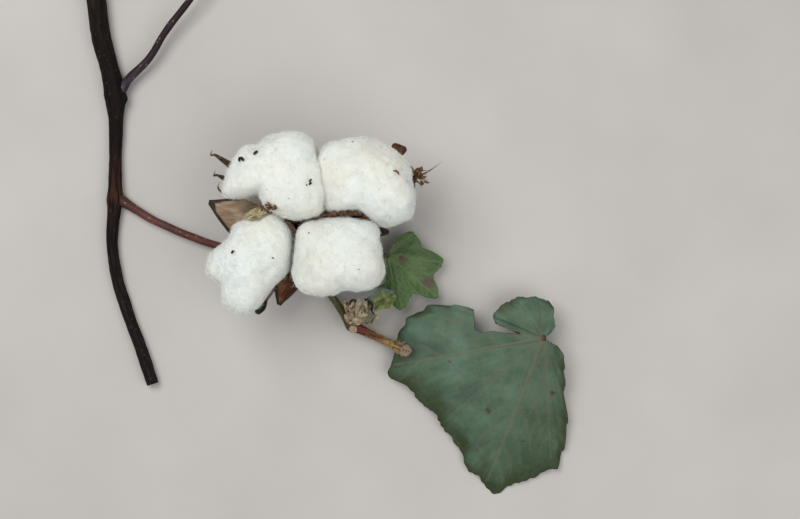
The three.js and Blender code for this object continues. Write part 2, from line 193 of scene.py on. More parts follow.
def ring_faces(rows, sides):
    """Quads between rows of points round an axis, and a flat face on each end."""
    at = np.arange(rows * sides).reshape(rows, sides)
    following = np.roll(at, -1, axis=1)
    quads = np.stack([at[:-1], following[:-1], following[1:], at[1:]], -1).reshape(-1, 4)
    return [*quads.tolist(), at[0, ::-1].tolist(), at[-1].tolist()]


def limb(stops, relief, sides, pace):
    """The shape of a round limb with relief in mm. Its cut ends take the second material."""
    middles, radii = route(stops, pace)
    along = np.concatenate([[0], np.cumsum(np.linalg.norm(np.diff(middles, axis=0), axis=1))])
    up, frames = np.array([0, 0, 1.0]), []
    for ahead in unit(np.gradient(middles, axis=0)):
        up = unit(up - ahead * (up @ ahead))
        frames.append((up, np.cross(ahead, up)))
    ups, asides = np.array(frames).transpose(1, 0, 2)[:, :, None]
    turns = np.linspace(0, 2 * math.pi, sides, endpoint=False)
    outward = ups * np.cos(turns)[:, None] + asides * np.sin(turns)[:, None]
    flat = np.broadcast_to(along[:, None], outward.shape[:2])
    grain = np.stack([flat, radii[:, None] * np.cos(turns), radii[:, None] * np.sin(turns)], -1)
    raised = middles[:, None] + outward * radii[:, None, None]
    raised = raised + outward * relief(grain, raised)[..., None]
    rings = CUT_RINGS[:, None, None]
    first = middles[0] + (raised[0] - middles[0]) * rings
    last = middles[-1] + (raised[-1] - middles[-1]) * rings[::-1]
    points = np.concatenate([first, raised, last])
    caps = len(CUT_RINGS)
    which = np.zeros(len(points) - 1, int)
    which[:caps] = which[-caps:] = 1
    grain = np.pad(grain, ((caps, caps), (0, 0), (0, 0)), "edge").reshape(-1, 3)
    marks = {"grain": grain, "reach": grain[:, 0] / along[-1]}
    return points.reshape(-1, 3), ring_faces(len(points), sides), [*which.repeat(sides), 1, 1], marks


def stem_relief(grain, places):
    """Long ridges, and swellings at the fork, the bud and the node."""
    ridges = 0.13 * ripple(grain / (8, 1, 1), 1.6, 11) + 0.07 * ripple(grain / (4, 1, 1), 0.7, 12)
    swollen = 0.7 * hump(places, FORK, 6) + 1.1 * hump(places, BUD_KNOB, 1.9)
    return ridges + swollen + 0.8 * hump(places, STEM_NODE, (5, 3.2, 5)) + 0.1 * ripple(places, 9, 13)


def season_bark(name, tints, line, pore, roughness, depth):
    """Bark of one season: tints from foot to tip, darker long lines, and pores 2 to 3 mm apart."""
    material, tree, shader = finish(name, roughness)
    shader.inputs["Specular IOR Level"].default_value = BARK_GLOSS
    reach = add(tree, "Attribute", {"attribute_name": "reach"}, {}, "Fac")
    colour = add(tree, "ValToRGB", {"stops": tints}, {"Fac": reach})
    fibre = grained(tree, (9, 0.7, 0.7), 5.0)
    lined = add(tree, "ValToRGB", {"stops": [(0.42, "#000000"), (0.62, "#ffffff")]}, {"Fac": fibre})
    colour = add(tree, "Mix", COLOURS, {0: lined, 6: colour, 7: line}, 2)
    patch = grained(tree, (12, 5, 5), 3.0)
    dusty = add(tree, "ValToRGB", {"stops": [(0.35, "#6e6e6e"), (0.7, "#ffffff")]}, {"Fac": patch})
    colour = add(tree, "Mix", {**COLOURS, "blend_type": "MULTIPLY"}, {0: 0.6, 6: colour, 7: dusty}, 2)
    cell = grained(tree, (3.2, 1.9, 1.9), 0.0, "TexVoronoi")
    dot = add(tree, "ValToRGB", {"stops": [(0.1, "#ffffff"), (0.2, "#000000")]}, {"Fac": cell})
    colour = add(tree, "Mix", COLOURS, {0: dot, 6: colour, 7: pore}, 2)
    height = add(tree, "Math", {"operation": "ADD"}, {0: fibre, 1: dot})
    feed(shader, colour, height, depth)
    return material


# Dark matt bark, with a reddish cast at the node, long ridges and small paler pores.
# The paler olive first tint, at the top end, is a painted highlight for that end's lit edge.
stem_tints = [
    (0, "#2f231a"), (0.2, "#1f1511"), (0.42, "#1d120f"), (0.5, "#43261b"), (0.54, "#4f2e21"),
    (0.6, "#261a17"), (1, "#2e2322"),
]
stem_bark = season_bark("weathered_stem_bark", stem_tints, "#0f0a08", "#3b2f28", roughness=0.8, depth=0.12)

# Cut wood: dull cream to tan, with the fine roughness that a blade leaves.
cut_wood, tree, shader = finish("cut_stem_wood", 0.8, 1.5)
coarse = grained(tree, (0.5, 0.35, 0.35), 4.0)
wood_tint = add(tree, "ValToRGB", {"stops": [(0.3, "#856b47"), (0.7, "#c2ab80")]}, {"Fac": coarse})
feed(shader, wood_tint, coarse, 0.15)
stem = limb(MAIN_STEM, stem_relief, sides=44, pace=0.8)
piece("stem_skin", stem, [stem_bark, cut_wood], "stem_bark", "main_stem")


# Side shoot. A thinner shoot that leaves the fork out of the same wood, with smooth purple bark that has a
# bluish bloom near its foot. Its far end is cut.
SIDE_SHOOT = [
    (-86, 54, 4.6, 2.6), (-83.5, 57.8, 4.8, 2.3), (-80.5, 62.5, 5, 1.9), (-71.2, 71.6, 6, 1.6),
    (-63.5, 83.6, 7, 1.5), (-52.7, 96.7, 9, 1.4), (-46.9, 104.3, 10, 1.4),
]


def twig_relief(seed, nodes=()):
    """Fine long ridges, soft unevenness, and a ring of swelling at each node."""

    def relief(grain, places):
        height = 0.045 * ripple(grain / (7, 1, 1), 0.8, seed) + 0.07 * ripple(grain, 5, seed + 1)
        return height + sum(size * hump(places, middle, reach) for middle, reach, size in nodes)

    return relief


# Thin living bark: a purple skin under a pale bloom, smooth enough for a dull gloss.
shoot_tints = [(0, "#544e57"), (0.16, "#4c4650"), (0.34, "#3b2a31"), (0.7, "#352227"), (1, "#372426")]
shoot_bark = season_bark("purple_shoot_bark", shoot_tints, "#2f1c22", "#6f5e66", roughness=0.5, depth=0.05)
shoot = limb(SIDE_SHOOT, twig_relief(21), sides=28, pace=0.7)
piece("shoot_skin", shoot, [shoot_bark, cut_wood], "shoot_bark", "side_shoot")


# Fruiting branch. It grows out of the stem's node and runs to the boll's node, which is hidden under the
# boll. Its smooth bark is salmon red on the side that faced the light, with fine long lines.
BOLL_NODE = (-1.7, -18.8, 6)
FRUITING_BRANCH = [
    (-87, 11.4, 3.1, 2.8), (-83.4, 9.7, 3.3, 2.4), (-80, 7.6, 3.6, 2), (-71, 2, 4, 1.8),
    (-55, -5.2, 4.1, 1.7), (-41, -10.1, 4.2, 1.7), (-20, -15.3, 5, 1.7), (-6, -18.2, 5.8, 1.9),
    (*BOLL_NODE, 2.7), (1.2, -19.8, 6.2, 1.6),
]
# Smooth red bark: a skin full of pigment over green, with a thin waxy gloss.
branch_tints = [
    (0, "#3c2218"), (0.04, "#4b2b1f"), (0.09, "#69483c"), (0.16, "#70493f"), (0.45, "#6f4339"),
    (0.7, "#693d34"), (1, "#5c4f34"),
]
branch_bark = season_bark("red_branch_bark", branch_tints, "#66403a", "#94705f", roughness=0.48, depth=0.05)
branch = limb(FRUITING_BRANCH, twig_relief(31, [(BOLL_NODE, 3, 0.3)]), sides=32, pace=0.7)
piece("fruiting_branch_skin", branch, [branch_bark, cut_wood], "branch_bark", "fruiting_branch")


# Boll stalk, second internode and small leaf's stalk. The green limbs that leave the boll's node: the short
# stalk under the boll, the zigzag's next length to the second node, and the stalk of the small bright leaf.
BUD_NODE = (17.5, -44.8, 8.5)
SMALL_LEAF_JOIN = (33, -14, 12)
GREEN_LIMBS = {
    "boll_stalk": [(*BOLL_NODE, 1.7), (-1.2, -9.5, 5, 1.6), (-0.4, -2.5, 7.5, 1.7), (0, 0, 12.7, 2.4)],
    "second_internode": [
        (*BOLL_NODE, 1.8), (3.5, -25.5, 6, 1.6), (9, -32.4, 6.6, 1.6), (14, -39.6, 7.6, 1.7),
        (*BUD_NODE, 2.7), (19.2, -46.6, 8.9, 1.8),
    ],
    "small_leaf_stalk": [
        (*BOLL_NODE, 1), (8, -17.5, 5, 0.9), (22, -15.5, 4.5, 0.9), (32.8, -14.2, 11.8, 1.1),
    ],
}
# Green bark: living skin with little wax, olive with a yellow cast towards the node.
green_tints = [(0, "#5c6036"), (0.45, "#64673a"), (0.75, "#6f6b42"), (1, "#79684a")]
green_bark = season_bark("olive_branch_bark", green_tints, "#4b4f2e", "#857d52", roughness=0.5, depth=0.04)
for seed, (name, stops) in enumerate(GREEN_LIMBS.items()):
    green_limb = limb(stops, twig_relief(41 + seed, [(BUD_NODE, 2.5, 0.25)]), sides=24, pace=0.5)
    piece(name + "_skin", green_limb, [green_bark, green_bark], "green_bark", name)


# Large leaf's stalk. A long thin stalk that leaves the second node, runs under the young internode and the
# blade, and rises to the blade's join. It is one living piece with the leaf, reddish like the branch.
LARGE_LEAF_JOIN = (100, -49.6, 17)
LARGE_STALK = [
    (*BUD_NODE, 1.3), (20.6, -46.3, 5.4, 1.2), (26, -48.9, 3.8, 1.1), (36, -53.7, 2.4, 1.1),
    (46, -55.5, 1.8, 1.2), (70, -52, 2.2, 1.2), (92, -52, 8, 1.2), (100, -49.6, 16.7, 1.6),
]
# Smooth stalk skin: dull red-brown, greener towards the blade.
stalk_tints = [(0, "#6b4a37"), (0.5, "#734a3c"), (0.85, "#7a5746"), (1, "#7d6a50")]
stalk_bark = season_bark("red_stalk_skin", stalk_tints, "#5f3c34", "#917060", roughness=0.5, depth=0.03)
large_stalk = limb(LARGE_STALK, twig_relief(51), sides=22, pace=0.7)
piece("large_stalk_skin", large_stalk, [stalk_bark, stalk_bark], "branch_bark", "large_leaf_stalk")


# Young internode. The last short length beyond the second node, red at its foot and then yellow-brown, rough
# with short hairs. It ends in the round scar of what has dropped from it.
YOUNG_INTERNODE = [
    (*BUD_NODE, 2.3), (23.5, -47.3, 9.6, 1.9), (28.5, -49.6, 10.6, 1.6), (35, -52.6, 11.8, 1.5),
    (38.4, -54.1, 12.4, 2.4), (40.4, -55.1, 12.8, 2.2),
]
HAIR_WIDTH, HAIR_PACE = 0.09, 0.2


def rise(value, low, high):
    """0 below low, 1 above high, and eased between them."""
    part = np.clip((value - low) / (high - low), 0, 1)
    return part * part * (3 - 2 * part)


def young_relief(grain, places):
    """Warts from 6 mm on, over long ridges."""
    warts = 0.16 * ripple(grain, 0.75, 61) * rise(grain[..., 0], 6, 10)
    return warts + 0.08 * ripple(grain / (5, 1, 1), 0.9, 62)


def ribbons(paths, width, draw):
    """The shape of flat fibres along paths, each turned its own way and thin at its ends."""
    count, steps = paths.shape[:2]
    side = unit(np.cross(unit(np.gradient(paths, axis=1)), draw.normal(size=(count, 1, 3))))
    taper = np.interp(np.linspace(0, 1, steps), (0, 0.15, 0.75, 1), (0.5, 1, 1, 0.15))
    half = side * (width / 2 * taper)[:, None]
    foot = (np.arange(count)[:, None] * steps + np.arange(steps - 1)).reshape(-1, 1) * 2
    return np.stack([paths + half, paths - half], axis=2).reshape(-1, 3), foot + [0, 1, 3, 2]


def hairs(stops, start, count, longest, seed):
    """The shape of short hairs that stand out of a limb, from start mm along it."""
    draw = np.random.default_rng(seed)
    middles, radii = route(stops, HAIR_PACE)
    ahead = unit(np.gradient(middles, axis=0))
    chosen = draw.integers(int(start / HAIR_PACE), len(middles) - 4, count)
    out = unit(np.cross(ahead[chosen], draw.normal(size=(count, 3))))
    lean = unit(out + 0.5 * ahead[chosen] + draw.normal(0, 0.35, (count, 3)))
    sway = draw.normal(0, 0.25, (count, 3))
    length = draw.uniform(0.3, 1, (count, 1)) * longest
    roots = middles[chosen] + out * (radii[chosen] - 0.15)[:, None]
    steps = np.linspace(0, 1, 4)[:, None]
    paths = roots[:, None] + (lean * length)[:, None] * steps + (sway * length)[:, None] * steps**2
    return ribbons(paths, HAIR_WIDTH, draw)


def clouds(tree, size, detail, roughness=0.5):
    """A pattern of soft lumps about size mm across."""
    where = add(tree, "TexCoord", {}, {}, "Object")
    inputs = {"Vector": where, "Scale": 1 / (size * MM), "Detail": detail, "Roughness": roughness}
    return add(tree, "TexNoise", {}, inputs)


# Hairy young bark: red where it left the node, then ochre with dark warts.
young_tints = [
    (0, "#7c463a"), (0.3, "#84493c"), (0.5, "#95694a"), (0.68, "#b08f5c"), (0.85, "#bd9f68"), (1, "#9a8066"),
]
young_bark = season_bark("hairy_young_bark", young_tints, "#543520", "#4a3220", roughness=0.75, depth=0.12)
young = limb(YOUNG_INTERNODE, young_relief, sides=32, pace=0.35)
piece("young_internode_skin", young, [young_bark, cut_wood], "tip_bark", "young_internode")

# Stem hairs: pale and dry, drawn three times as thick as life so that they show.
hair_cells, tree, shader = finish("pale_stem_hairs", 0.6, 1.5)
hair_stops = [(0.3, "#8a7148"), (0.7, "#b3a074")]
hair_tint = add(tree, "ValToRGB", {"stops": hair_stops}, {"Fac": clouds(tree, 2, 2.0)})
tree.links.new(hair_tint, shader.inputs["Base Color"])
young_hairs = hairs(YOUNG_INTERNODE, start=7, count=1500, longest=1.5, seed=63)
piece("young_internode_hairs", young_hairs, [hair_cells], "tip_bark")
green_hairs = hairs(GREEN_LIMBS["second_internode"], start=3, count=500, longest=0.7, seed=64)
piece("second_internode_hairs", green_hairs, [hair_cells], "green_bark")


# Leaf scars. Where leaves have dropped, the branch is sealed by a round pad of cork with a raised rim and the
# dark dots of the veins that once ran into the stalk. They grew as part of the bark.
SCARS = {
    "second_node": ((18.3, -46.4, 11.3), (0.15, -0.45, 0.9), 1.7, [], 0),
    "young_end": ((41, -55.3, 14.8), (0.3, -0.1, 0.95), 2.5, [(-1.1, 0.6), (0.2, 0), (1.5, -0.2)], 0.4),
    "stem_node": ((-88.6, 8.0, 4.8), (-0.75, -0.1, 0.65), 1.3, [], 0.4),
}  # middle, facing, radius, the dots' places across it in mm, and how far it has darkened
PAD_TOP = [(0, 0.06), (0.5, 0.02), (0.72, 0.1), (0.86, 0.12), (0.96, -0.04)]  # out in radii, up in half radii
PAD_SIDE = [(1.02, -0.2), (1.06, -0.5), (1.05, -1), (0.98, -1.6)]
ROUND_SIDES = 60


def pad(middle, facing, radius, dots, darkened, seed):
    """The shape of a closed corky knob with a low rim round its top."""
    draw = np.random.default_rng(seed)
    middle, facing = np.array(middle), unit(np.array(facing, float))
    north = unit(np.cross(facing, (1, 0, 0)))
    east = np.cross(north, facing)
    top = np.linspace(0.04, 0.96, 22)
    side = np.array(PAD_SIDE)
    shares = np.concatenate([top, side[:, 0]])
    heights = np.concatenate([np.interp(top, *np.array(PAD_TOP).T), side[:, 1]])
    turns = np.linspace(0, 2 * math.pi, ROUND_SIDES, endpoint=False)
    starts = draw.uniform(0, 2 * math.pi, 3)
    edge = 1
    for start, waves, size in zip(starts, (2, 5, 9), (0.06, 0.05, 0.03)):
        edge = edge + size * np.cos(waves * turns + start)
    disc = radius * shares[:, None] * edge
    flat = disc[..., None] * (east * np.cos(turns)[:, None] + north * np.sin(turns)[:, None])
    points = middle + flat + (heights[:, None, None] * radius / 2) * facing
    points = points + 0.05 * radius * ripple(points, 0.6, seed)[..., None] * facing
    dark = np.full(points.shape[:2], float(darkened))
    for right, ahead in dots:
        gap = points - middle - east * right - north * ahead
        near = np.exp(-((np.linalg.norm(gap - (gap @ facing)[..., None] * facing, axis=-1) / 0.4) ** 2))
        points = points - (0.2 * near)[..., None] * facing
        dark = np.maximum(dark, rise(near, 0.2, 0.7))
    return points.reshape(-1, 3), ring_faces(len(shares), ROUND_SIDES), None, {"dark": dark.ravel()}


# Cork: dull cream-tan, finely grained, darker in the dots.
cork, tree, shader = finish("leaf_scar_cork", 0.85)
cork_grain = clouds(tree, 0.5, 3.0)
cork_stops = [(0.3, "#7a6450"), (0.5, "#a08a70"), (0.7, "#c2ad90")]
cork_tint = add(tree, "ValToRGB", {"stops": cork_stops}, {"Fac": cork_grain})
dark = add(tree, "Attribute", {"attribute_name": "dark"}, {}, "Fac")
feed(shader, add(tree, "Mix", COLOURS, {0: dark, 6: cork_tint, 7: "#24150e"}, 2), cork_grain, 0.08)
for seed, (name, sizes) in enumerate(SCARS.items()):
    piece(name + "_scar", pad(*sizes, 71 + seed), [cork], "tip_bark")


# Calyx. The dried flower cup that grips the boll's foot, shrunk to a thin brown ring of five low lobes. It
# grew on top of the boll's stalk.
CALYX = [
    (0.4, 12.5), (3.6, 12.5), (5.2, 13.4), (6.3, 14.7), (6.7, 15.8), (6.6, 16.6), (5.5, 17.0), (0.4, 17.2),
]  # radius and height round its profile


def dry_tissue(name, stops, size, roughness, depth):
    """Dried plant tissue whose tints drift in patches about size mm across, with relief to match."""
    material, tree, shader = finish(name, roughness)
    patch = clouds(tree, size, 6.0, 0.6)
    feed(shader, add(tree, "ValToRGB", {"stops": stops}, {"Fac": patch}), patch, depth)
    return material


# Dried green tissue: dull dark brown, cracked and uneven.
calyx_stops = [(0.3, "#33231a"), (0.5, "#573f2b"), (0.7, "#785e40")]
calyx_tissue = dry_tissue("dried_calyx_tissue", calyx_stops, size=1.5, roughness=0.85, depth=0.2)
turns = np.linspace(0, 2 * math.pi, ROUND_SIDES, endpoint=False)
steps = np.linspace(0, len(CALYX) - 1, 36)
out, up = (np.interp(steps, range(len(CALYX)), values)[:, None] for values in zip(*CALYX))
points = np.stack([out * np.cos(turns), out * np.sin(turns), up + 0 * turns], -1)
lobed = rise(points[..., 2], 15, 17) * rise(out, 4, 6) * np.cos(5 * turns)
points[..., 2] += 0.6 * lobed + 0.12 * ripple(points, 1.5, 81)
points[..., :2] *= 1 + 0.02 * ripple(points, 2, 82)[..., None]
calyx = (points.reshape(-1, 3), ring_faces(len(steps), ROUND_SIDES))
piece("calyx_cup", calyx, [calyx_tissue], "husk", "calyx")


# Bur. The boll's dry wall has split into four pointed valves, tan and wrinkled inside and dark outside, that
# spread from the calyx between the locks. Each is joined to the boll's foot only.
BUR_HEIGHT, VALVE_FOOT, VALVE_THICK = 17.6, 3.2, 0.9
VALVES = {
    "left": (179, 40.2, (8.6, 15.2), 20, 3.5, -7, -2.5, 3.2),
    "lower": (250, 37.5, (7.2, 7.2), 6, 3, 0, 0, 1),
    "right": (-8, 34, (5.5, 5.5), 15, 3, 0, 0, 7),
    "upper": (96, 33, (9.5, 9.5), 9, 3, 0, 0, 3),
}  # angle, length, widths right and left of the middle line, climb, cup, sway, roll, turned-over tip


def sheet(middles, thickness, kept=None, **marks):
    """The shape of a thin closed sheet round a grid of middles: its top, its underside and its edge."""
    down, across = np.gradient(middles, axis=(0, 1))
    grid = middles.shape[:2]
    layer = math.prod(grid)
    half = unit(np.cross(across, down)) * (np.broadcast_to(thickness, grid) / 2)[..., None]
    points = np.concatenate([(middles + half).reshape(-1, 3), (middles - half).reshape(-1, 3)])
    at = np.arange(layer).reshape(grid)
    quads = np.stack([at[:-1, :-1], at[:-1, 1:], at[1:, 1:], at[1:, :-1]], -1).reshape(-1, 4)
    if kept is not None:
        quads = quads[kept.ravel()]
    edges = np.stack([quads, np.roll(quads, -1, axis=1)], -1).reshape(-1, 2)
    _, first, uses = np.unique(edges.min(1) * layer + edges.max(1), return_index=True, return_counts=True)
    start, end = edges[first[uses == 1]].T
    sides = np.stack([start + layer, end + layer, end, start], -1)
    faces = np.concatenate([quads, quads[:, ::-1] + layer, sides])
    used, order = np.unique(faces, return_inverse=True)
    marks = {label: np.concatenate([v.reshape(layer, *v.shape[2:])] * 2)[used] for label, v in marks.items()}
    which = np.repeat([0, 1, 2], [len(quads), len(quads), len(sides)])
    return points[used], order.reshape(-1, 4), which, marks


def valve(angle, length, halves, climb, cup, sway, roll, dark_tip, seed):
    """The shape of a valve, thicker along its dark rim."""
    u, v = np.meshgrid(np.linspace(0, 1, 90), np.linspace(0, 1, 52))
    across = 2 * v - 1
    full = np.sin(0.12 + 0.95 * math.pi * u**0.85)
    half_width = np.where(across < 0, *halves)
    out = VALVE_FOOT + (length - VALVE_FOOT) * u
    aside = across * full * half_width + sway * u**3
    grain = np.stack([out, aside, 0 * out], -1)
    folds = np.stack([out + aside, (out - aside) / 4, 0 * out], -1)
    ribs = 0.2 * ripple(grain / (3.5, 1, 1), 1.5, seed) + 0.3 * ripple(grain, 6, seed + 1)
    ribs = ribs + 0.55 * ripple(folds, 4, seed + 2)
    curl = 0.9 * np.abs(across) ** 7 * full - 1.6 * rise(u, 0.9, 1)
    bowed = full * (cup * across**2 + roll * across)
    height = BUR_HEIGHT + climb * u**1.5 + bowed + ribs * rise(u, 0, 0.2) + curl
    turn = math.radians(angle)
    x = out * math.cos(turn) - aside * math.sin(turn)
    y = out * math.sin(turn) + aside * math.cos(turn)
    edge = np.minimum((1 - np.abs(across)) * full * half_width, (1 - u) * length + 1 - dark_tip)
    ragged = edge + 0.15 * ripple(grain, 1.6, seed + 3) + 0.3 * ripple(grain, 5, seed + 4) * rise(u, 0.5, 0.9)
    rim = 1 - rise(ragged, 0.1, 0.6)
    return sheet(np.stack([x, y, height], -1), VALVE_THICK * (1 + 0.5 * rim), grain=grain, rim=rim)


def husk_lining(name, tints, shade, shade_from, shade_to):
    """The valve's papery inner face, darkening along it between two places in mm, and dark where the wall's
    rim turns over.
    """
    material, tree, shader = finish(name, 0.62)
    vein = grained(tree, (5, 1.2, 1), 6.0)
    mixed = add(tree, "Math", {"operation": "ADD"}, {0: vein, 1: grained(tree, (7, 5, 1), 4.0)})
    halved = add(tree, "Math", {"operation": "MULTIPLY"}, {0: mixed, 1: 0.5})
    colour = add(tree, "ValToRGB", {"stops": tints}, {"Fac": halved})
    grain = add(tree, "Attribute", {"attribute_name": "grain"}, {}, "Vector")
    along = add(tree, "SeparateXYZ", {}, {"Vector": grain})
    spread = {"Value": along, "From Min": shade_from, "From Max": shade_to, "To Max": 0.75}
    colour = add(tree, "Mix", COLOURS, {0: add(tree, "MapRange", {}, spread), 6: colour, 7: shade}, 2)
    rim = add(tree, "Attribute", {"attribute_name": "rim"}, {}, "Fac")
    feed(shader, add(tree, "Mix", COLOURS, {0: rim, 6: colour, 7: "#261b15"}, 2), vein, 0.25)
    return material


# Papery lining: tan with cream clouds on the open valve, and rusty brown on the others.
tan_stops = [(0.38, "#a98d72"), (0.47, "#cbad90"), (0.56, "#dcc4a8"), (0.66, "#e8d8be")]
rust_stops = [(0.36, "#55301e"), (0.5, "#82502f"), (0.64, "#a06a42")]
tan_lining = husk_lining("papery_husk_lining", tan_stops, "#66503b", 25.0, 40.0)
# Painted shade: the rusty lining darkens towards the valves' foot, where the locks hang over them.
rust_lining = husk_lining("rusty_husk_lining", rust_stops, "#1c110b", 31.5, 25.0)
# Weathered outer wall: nearly black-brown, matt, pitted with the dots of old oil glands.
wall_stops = [(0.32, "#1f1611"), (0.52, "#33261d"), (0.72, "#503c2c")]
husk_wall = dry_tissue("weathered_husk_wall", wall_stops, size=1.2, roughness=0.75, depth=0.25)
for seed, (name, sizes) in enumerate(VALVES.items()):
    lining = tan_lining if name == "left" else rust_lining
    skins = [lining, husk_wall, husk_wall]
    piece("husk_" + name, valve(*sizes, 91 + 4 * seed), skins, "husk", "valve_" + name)


# Septa. Thin dark partitions that stood between the locks in the closed boll. They rise from the bur's middle
# and show as brown slivers in the gaps between the locks.
SEPTA = {
    "lower": [
        (-8.2, -0.2, 44), (-5.6, -2.4, 44.5), (-3.8, -6.2, 43.5), (-5.2, -12, 39), (-5.7, -18, 36),
        (-7.2, -25, 31),
    ],
    "right": [
        (-4.4, -0.2, 45), (-1, 0.5, 46), (3.6, 1.1, 45), (9, 2.4, 44), (16, 3, 45), (23.5, 2.9, 44),
        (26.8, 0.2, 42),
    ],
}  # x, y and top of each
SEPTUM_FOOT, SEPTUM_THICK = 19.0, 1.3
# Dry partition: brown and crumbly, with a torn upper edge.
septum_stops = [(0.3, "#2a1a11"), (0.48, "#5a3c28"), (0.66, "#8a6546")]
septum_tissue = dry_tissue("dry_septum_tissue", septum_stops, size=1.0, roughness=0.8, depth=0.3)
for seed, (name, stops) in enumerate(SEPTA.items()):
    t = np.linspace(0, len(stops) - 1, 110)
    line = np.stack([np.interp(t, range(len(stops)), values) for values in zip(*stops)], -1)
    ragged = line[:, 2] + 0.5 * ripple(line, 1.4, 111 + seed) + 0.7 * ripple(line, 4, 113 + seed)
    height = SEPTUM_FOOT + (ragged - SEPTUM_FOOT) * np.linspace(0, 1, 40)[:, None]
    middles = np.stack([line[:, 0] + 0 * height, line[:, 1] + 0 * height, height], -1)
    middles[..., :2] += 0.45 * np.stack([ripple(middles, 4, 115), ripple(middles, 4, 116)], -1)
    thick = SEPTUM_THICK * (1 + 0.3 * ripple(middles, 1.5, 117)) * (1 + 0.8 * rise(middles[..., 0], 7, 13))
    piece("septum_" + name, sheet(middles, thick), [septum_tissue], "husk")


# Locks of lint. Four masses of loose white fibre, each round the seeds of one cell, that have dried, fluffed
# out and stand on the bur. They are held only by their fibres, which cling to the seeds and the wall.
LOCKS = {
    "upper_left": (
        (-12, 17.5, 42, 16.8),
        [20.5, 19, 21.5, 20.5, 19, 17, 15, 17.5, 19, 20.8, 22.2, 12.4, 11.8, 14, 17.5, 20.5, 23.5, 22.5],
    ),
    "upper_right": (
        (25, 15.9, 41, 16),
        [18.5, 17.5, 17, 17, 17, 18, 19.5, 23, 23, 22, 22, 20, 14.5, 13, 16.5, 20.5, 23, 21.5],
    ),
    "lower_left": (
        (-21.7, -14.9, 39, 14),
        [16.5, 18, 20.5, 21, 17.5, 15.5, 15.5, 13.5, 14.5, 18, 19.5, 17.5, 22.5, 24.5, 20, 15.5, 15, 15.5],
    ),
    "lower_right": (
        (13.4, -14.9, 41, 15.6),
        [18.5, 18.5, 20, 17.5, 16.5, 16.5, 17.5, 20.5, 18.5, 18.5, 20, 20.5, 19, 16.5, 14, 16, 19.5, 20],
    ),
}  # middle and rise, then the outline's reach every 20 degrees from +X round through +Y
LOCK_DENTS = {
    "upper_left": [
        ((-19.5, 31, 44), 2.6, 1.3), ((-18, 26, 52), 4, 0.9), ((-27, 12.5, 50), 4, 0.8),
        ((-19, 10, 52), 4, 1), ((-24, 8.5, 42), 5, 1), ((-24, 6.5, 35), 5, 3), ((4.5, 20, 50), 4, -1.4),
        ((5.5, 12, 50), 4, -1.6), ((5, 6, 48), 4, -1.6),
    ],
    "upper_right": [((9, 9, 50), 5, 0.9), ((28, 1.5, 46), 4, 0.8), ((15, 2.5, 44), 6, 1)],
    "lower_left": [
        ((-34, -28, 41), 3.4, 2.4), ((-17, -31, 40), 3.2, 2), ((-26, -28, 51), 4, 0.9), ((-33, -5, 42), 4, 1),
        ((-19.5, -26, 46), 3.5, 1.1),
    ],
    "lower_right": [((14, -32, 41), 3, 1.4), ((14, -27, 50), 4, 0.6), ((-2.2, -3.2, 42), 4, 3.6)],
}  # place, reach and depth of the hollows between a lock's tufts, a bulge where negative
LOCK_DROP, FOOT_SHARE, LINT_OVERLAP = 20, 0.4, 3.5
FIBRE_COUNT, FIBRE_STEPS, FIBRE_WIDTH = 18000, 6, 0.07
LOOSE_SHARE = 0.35


def directions(level):
    """Even directions all round, as the corners and triangles of a subdivided icosahedron."""
    ball = bmesh.new()
    bmesh.ops.create_icosphere(ball, subdivisions=level, radius=1)
    corners = np.array([v.co[:] for v in ball.verts])
    triangles = np.array([[v.index for v in f.verts] for f in ball.faces])
    ball.free()
    return corners, triangles


def reach_at(reaches, turns):
    """The outline's reach at each turn in radians, on a smooth closed curve through the reaches."""
    reaches = np.array(reaches)
    at = turns / (2 * math.pi) * len(reaches)
    start = np.floor(at).astype(int)
    t = at - start
    a, b, c, d = (reaches[(start + step) % len(reaches)] for step in (-1, 0, 1, 2))
    return b + 0.5 * t * (c - a + t * (2 * a - 5 * b + 4 * c - d + t * (3 * (b - c) + d - a)))


def lock_core(name, ways):
    """Points of a lock's surface: a plump body on a foot in the bur, cut where it meets its neighbours."""
    (*middle, rise_mm), reaches = LOCKS[name]
    middle, upward = np.array(middle, float), ways[:, 2] > 0
    across = np.hypot(ways[:, 0], ways[:, 1]) / reach_at(reaches, np.arctan2(ways[:, 1], ways[:, 0]))
    level = np.abs(ways[:, 2]) / np.where(upward, rise_mm, LOCK_DROP)
    plump = np.where(upward, 2.3, 1.7)
    places = ways * ((across**plump + level**plump) ** (-1 / plump))[:, None]
    sunk = np.maximum(-places[:, 2:] / LOCK_DROP, 0)
    places = places + middle * (1, 1, 0) * (FOOT_SHARE - 1) * sunk**2
    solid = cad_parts["lock_" + name].data
    tree = BVHTree.FromPolygons([v.co for v in solid.vertices], [p.vertices for p in solid.polygons])
    centre = (middle + BOLL_AXIS) * MM
    reach, ahead = np.linalg.norm(places, axis=1), unit(places)
    room = np.array([tree.ray_cast(centre, way)[3] or 1 for way in ahead.tolist()]) / MM + LINT_OVERLAP
    points = middle + ahead * np.minimum(reach, room)[:, None]
    puffs = 0.7 * ripple(points, 9, 120) + 0.35 * ripple(points, 4.5, 121)
    tufts = 0.14 * ripple(points, 2.2, 122) + 0.06 * ripple(points, 1, 123)
    dents = sum(depth * hump(points, place, size) for place, size, depth in LOCK_DENTS[name])
    return points + ahead * (puffs + tufts - dents - 0.3)[:, None]


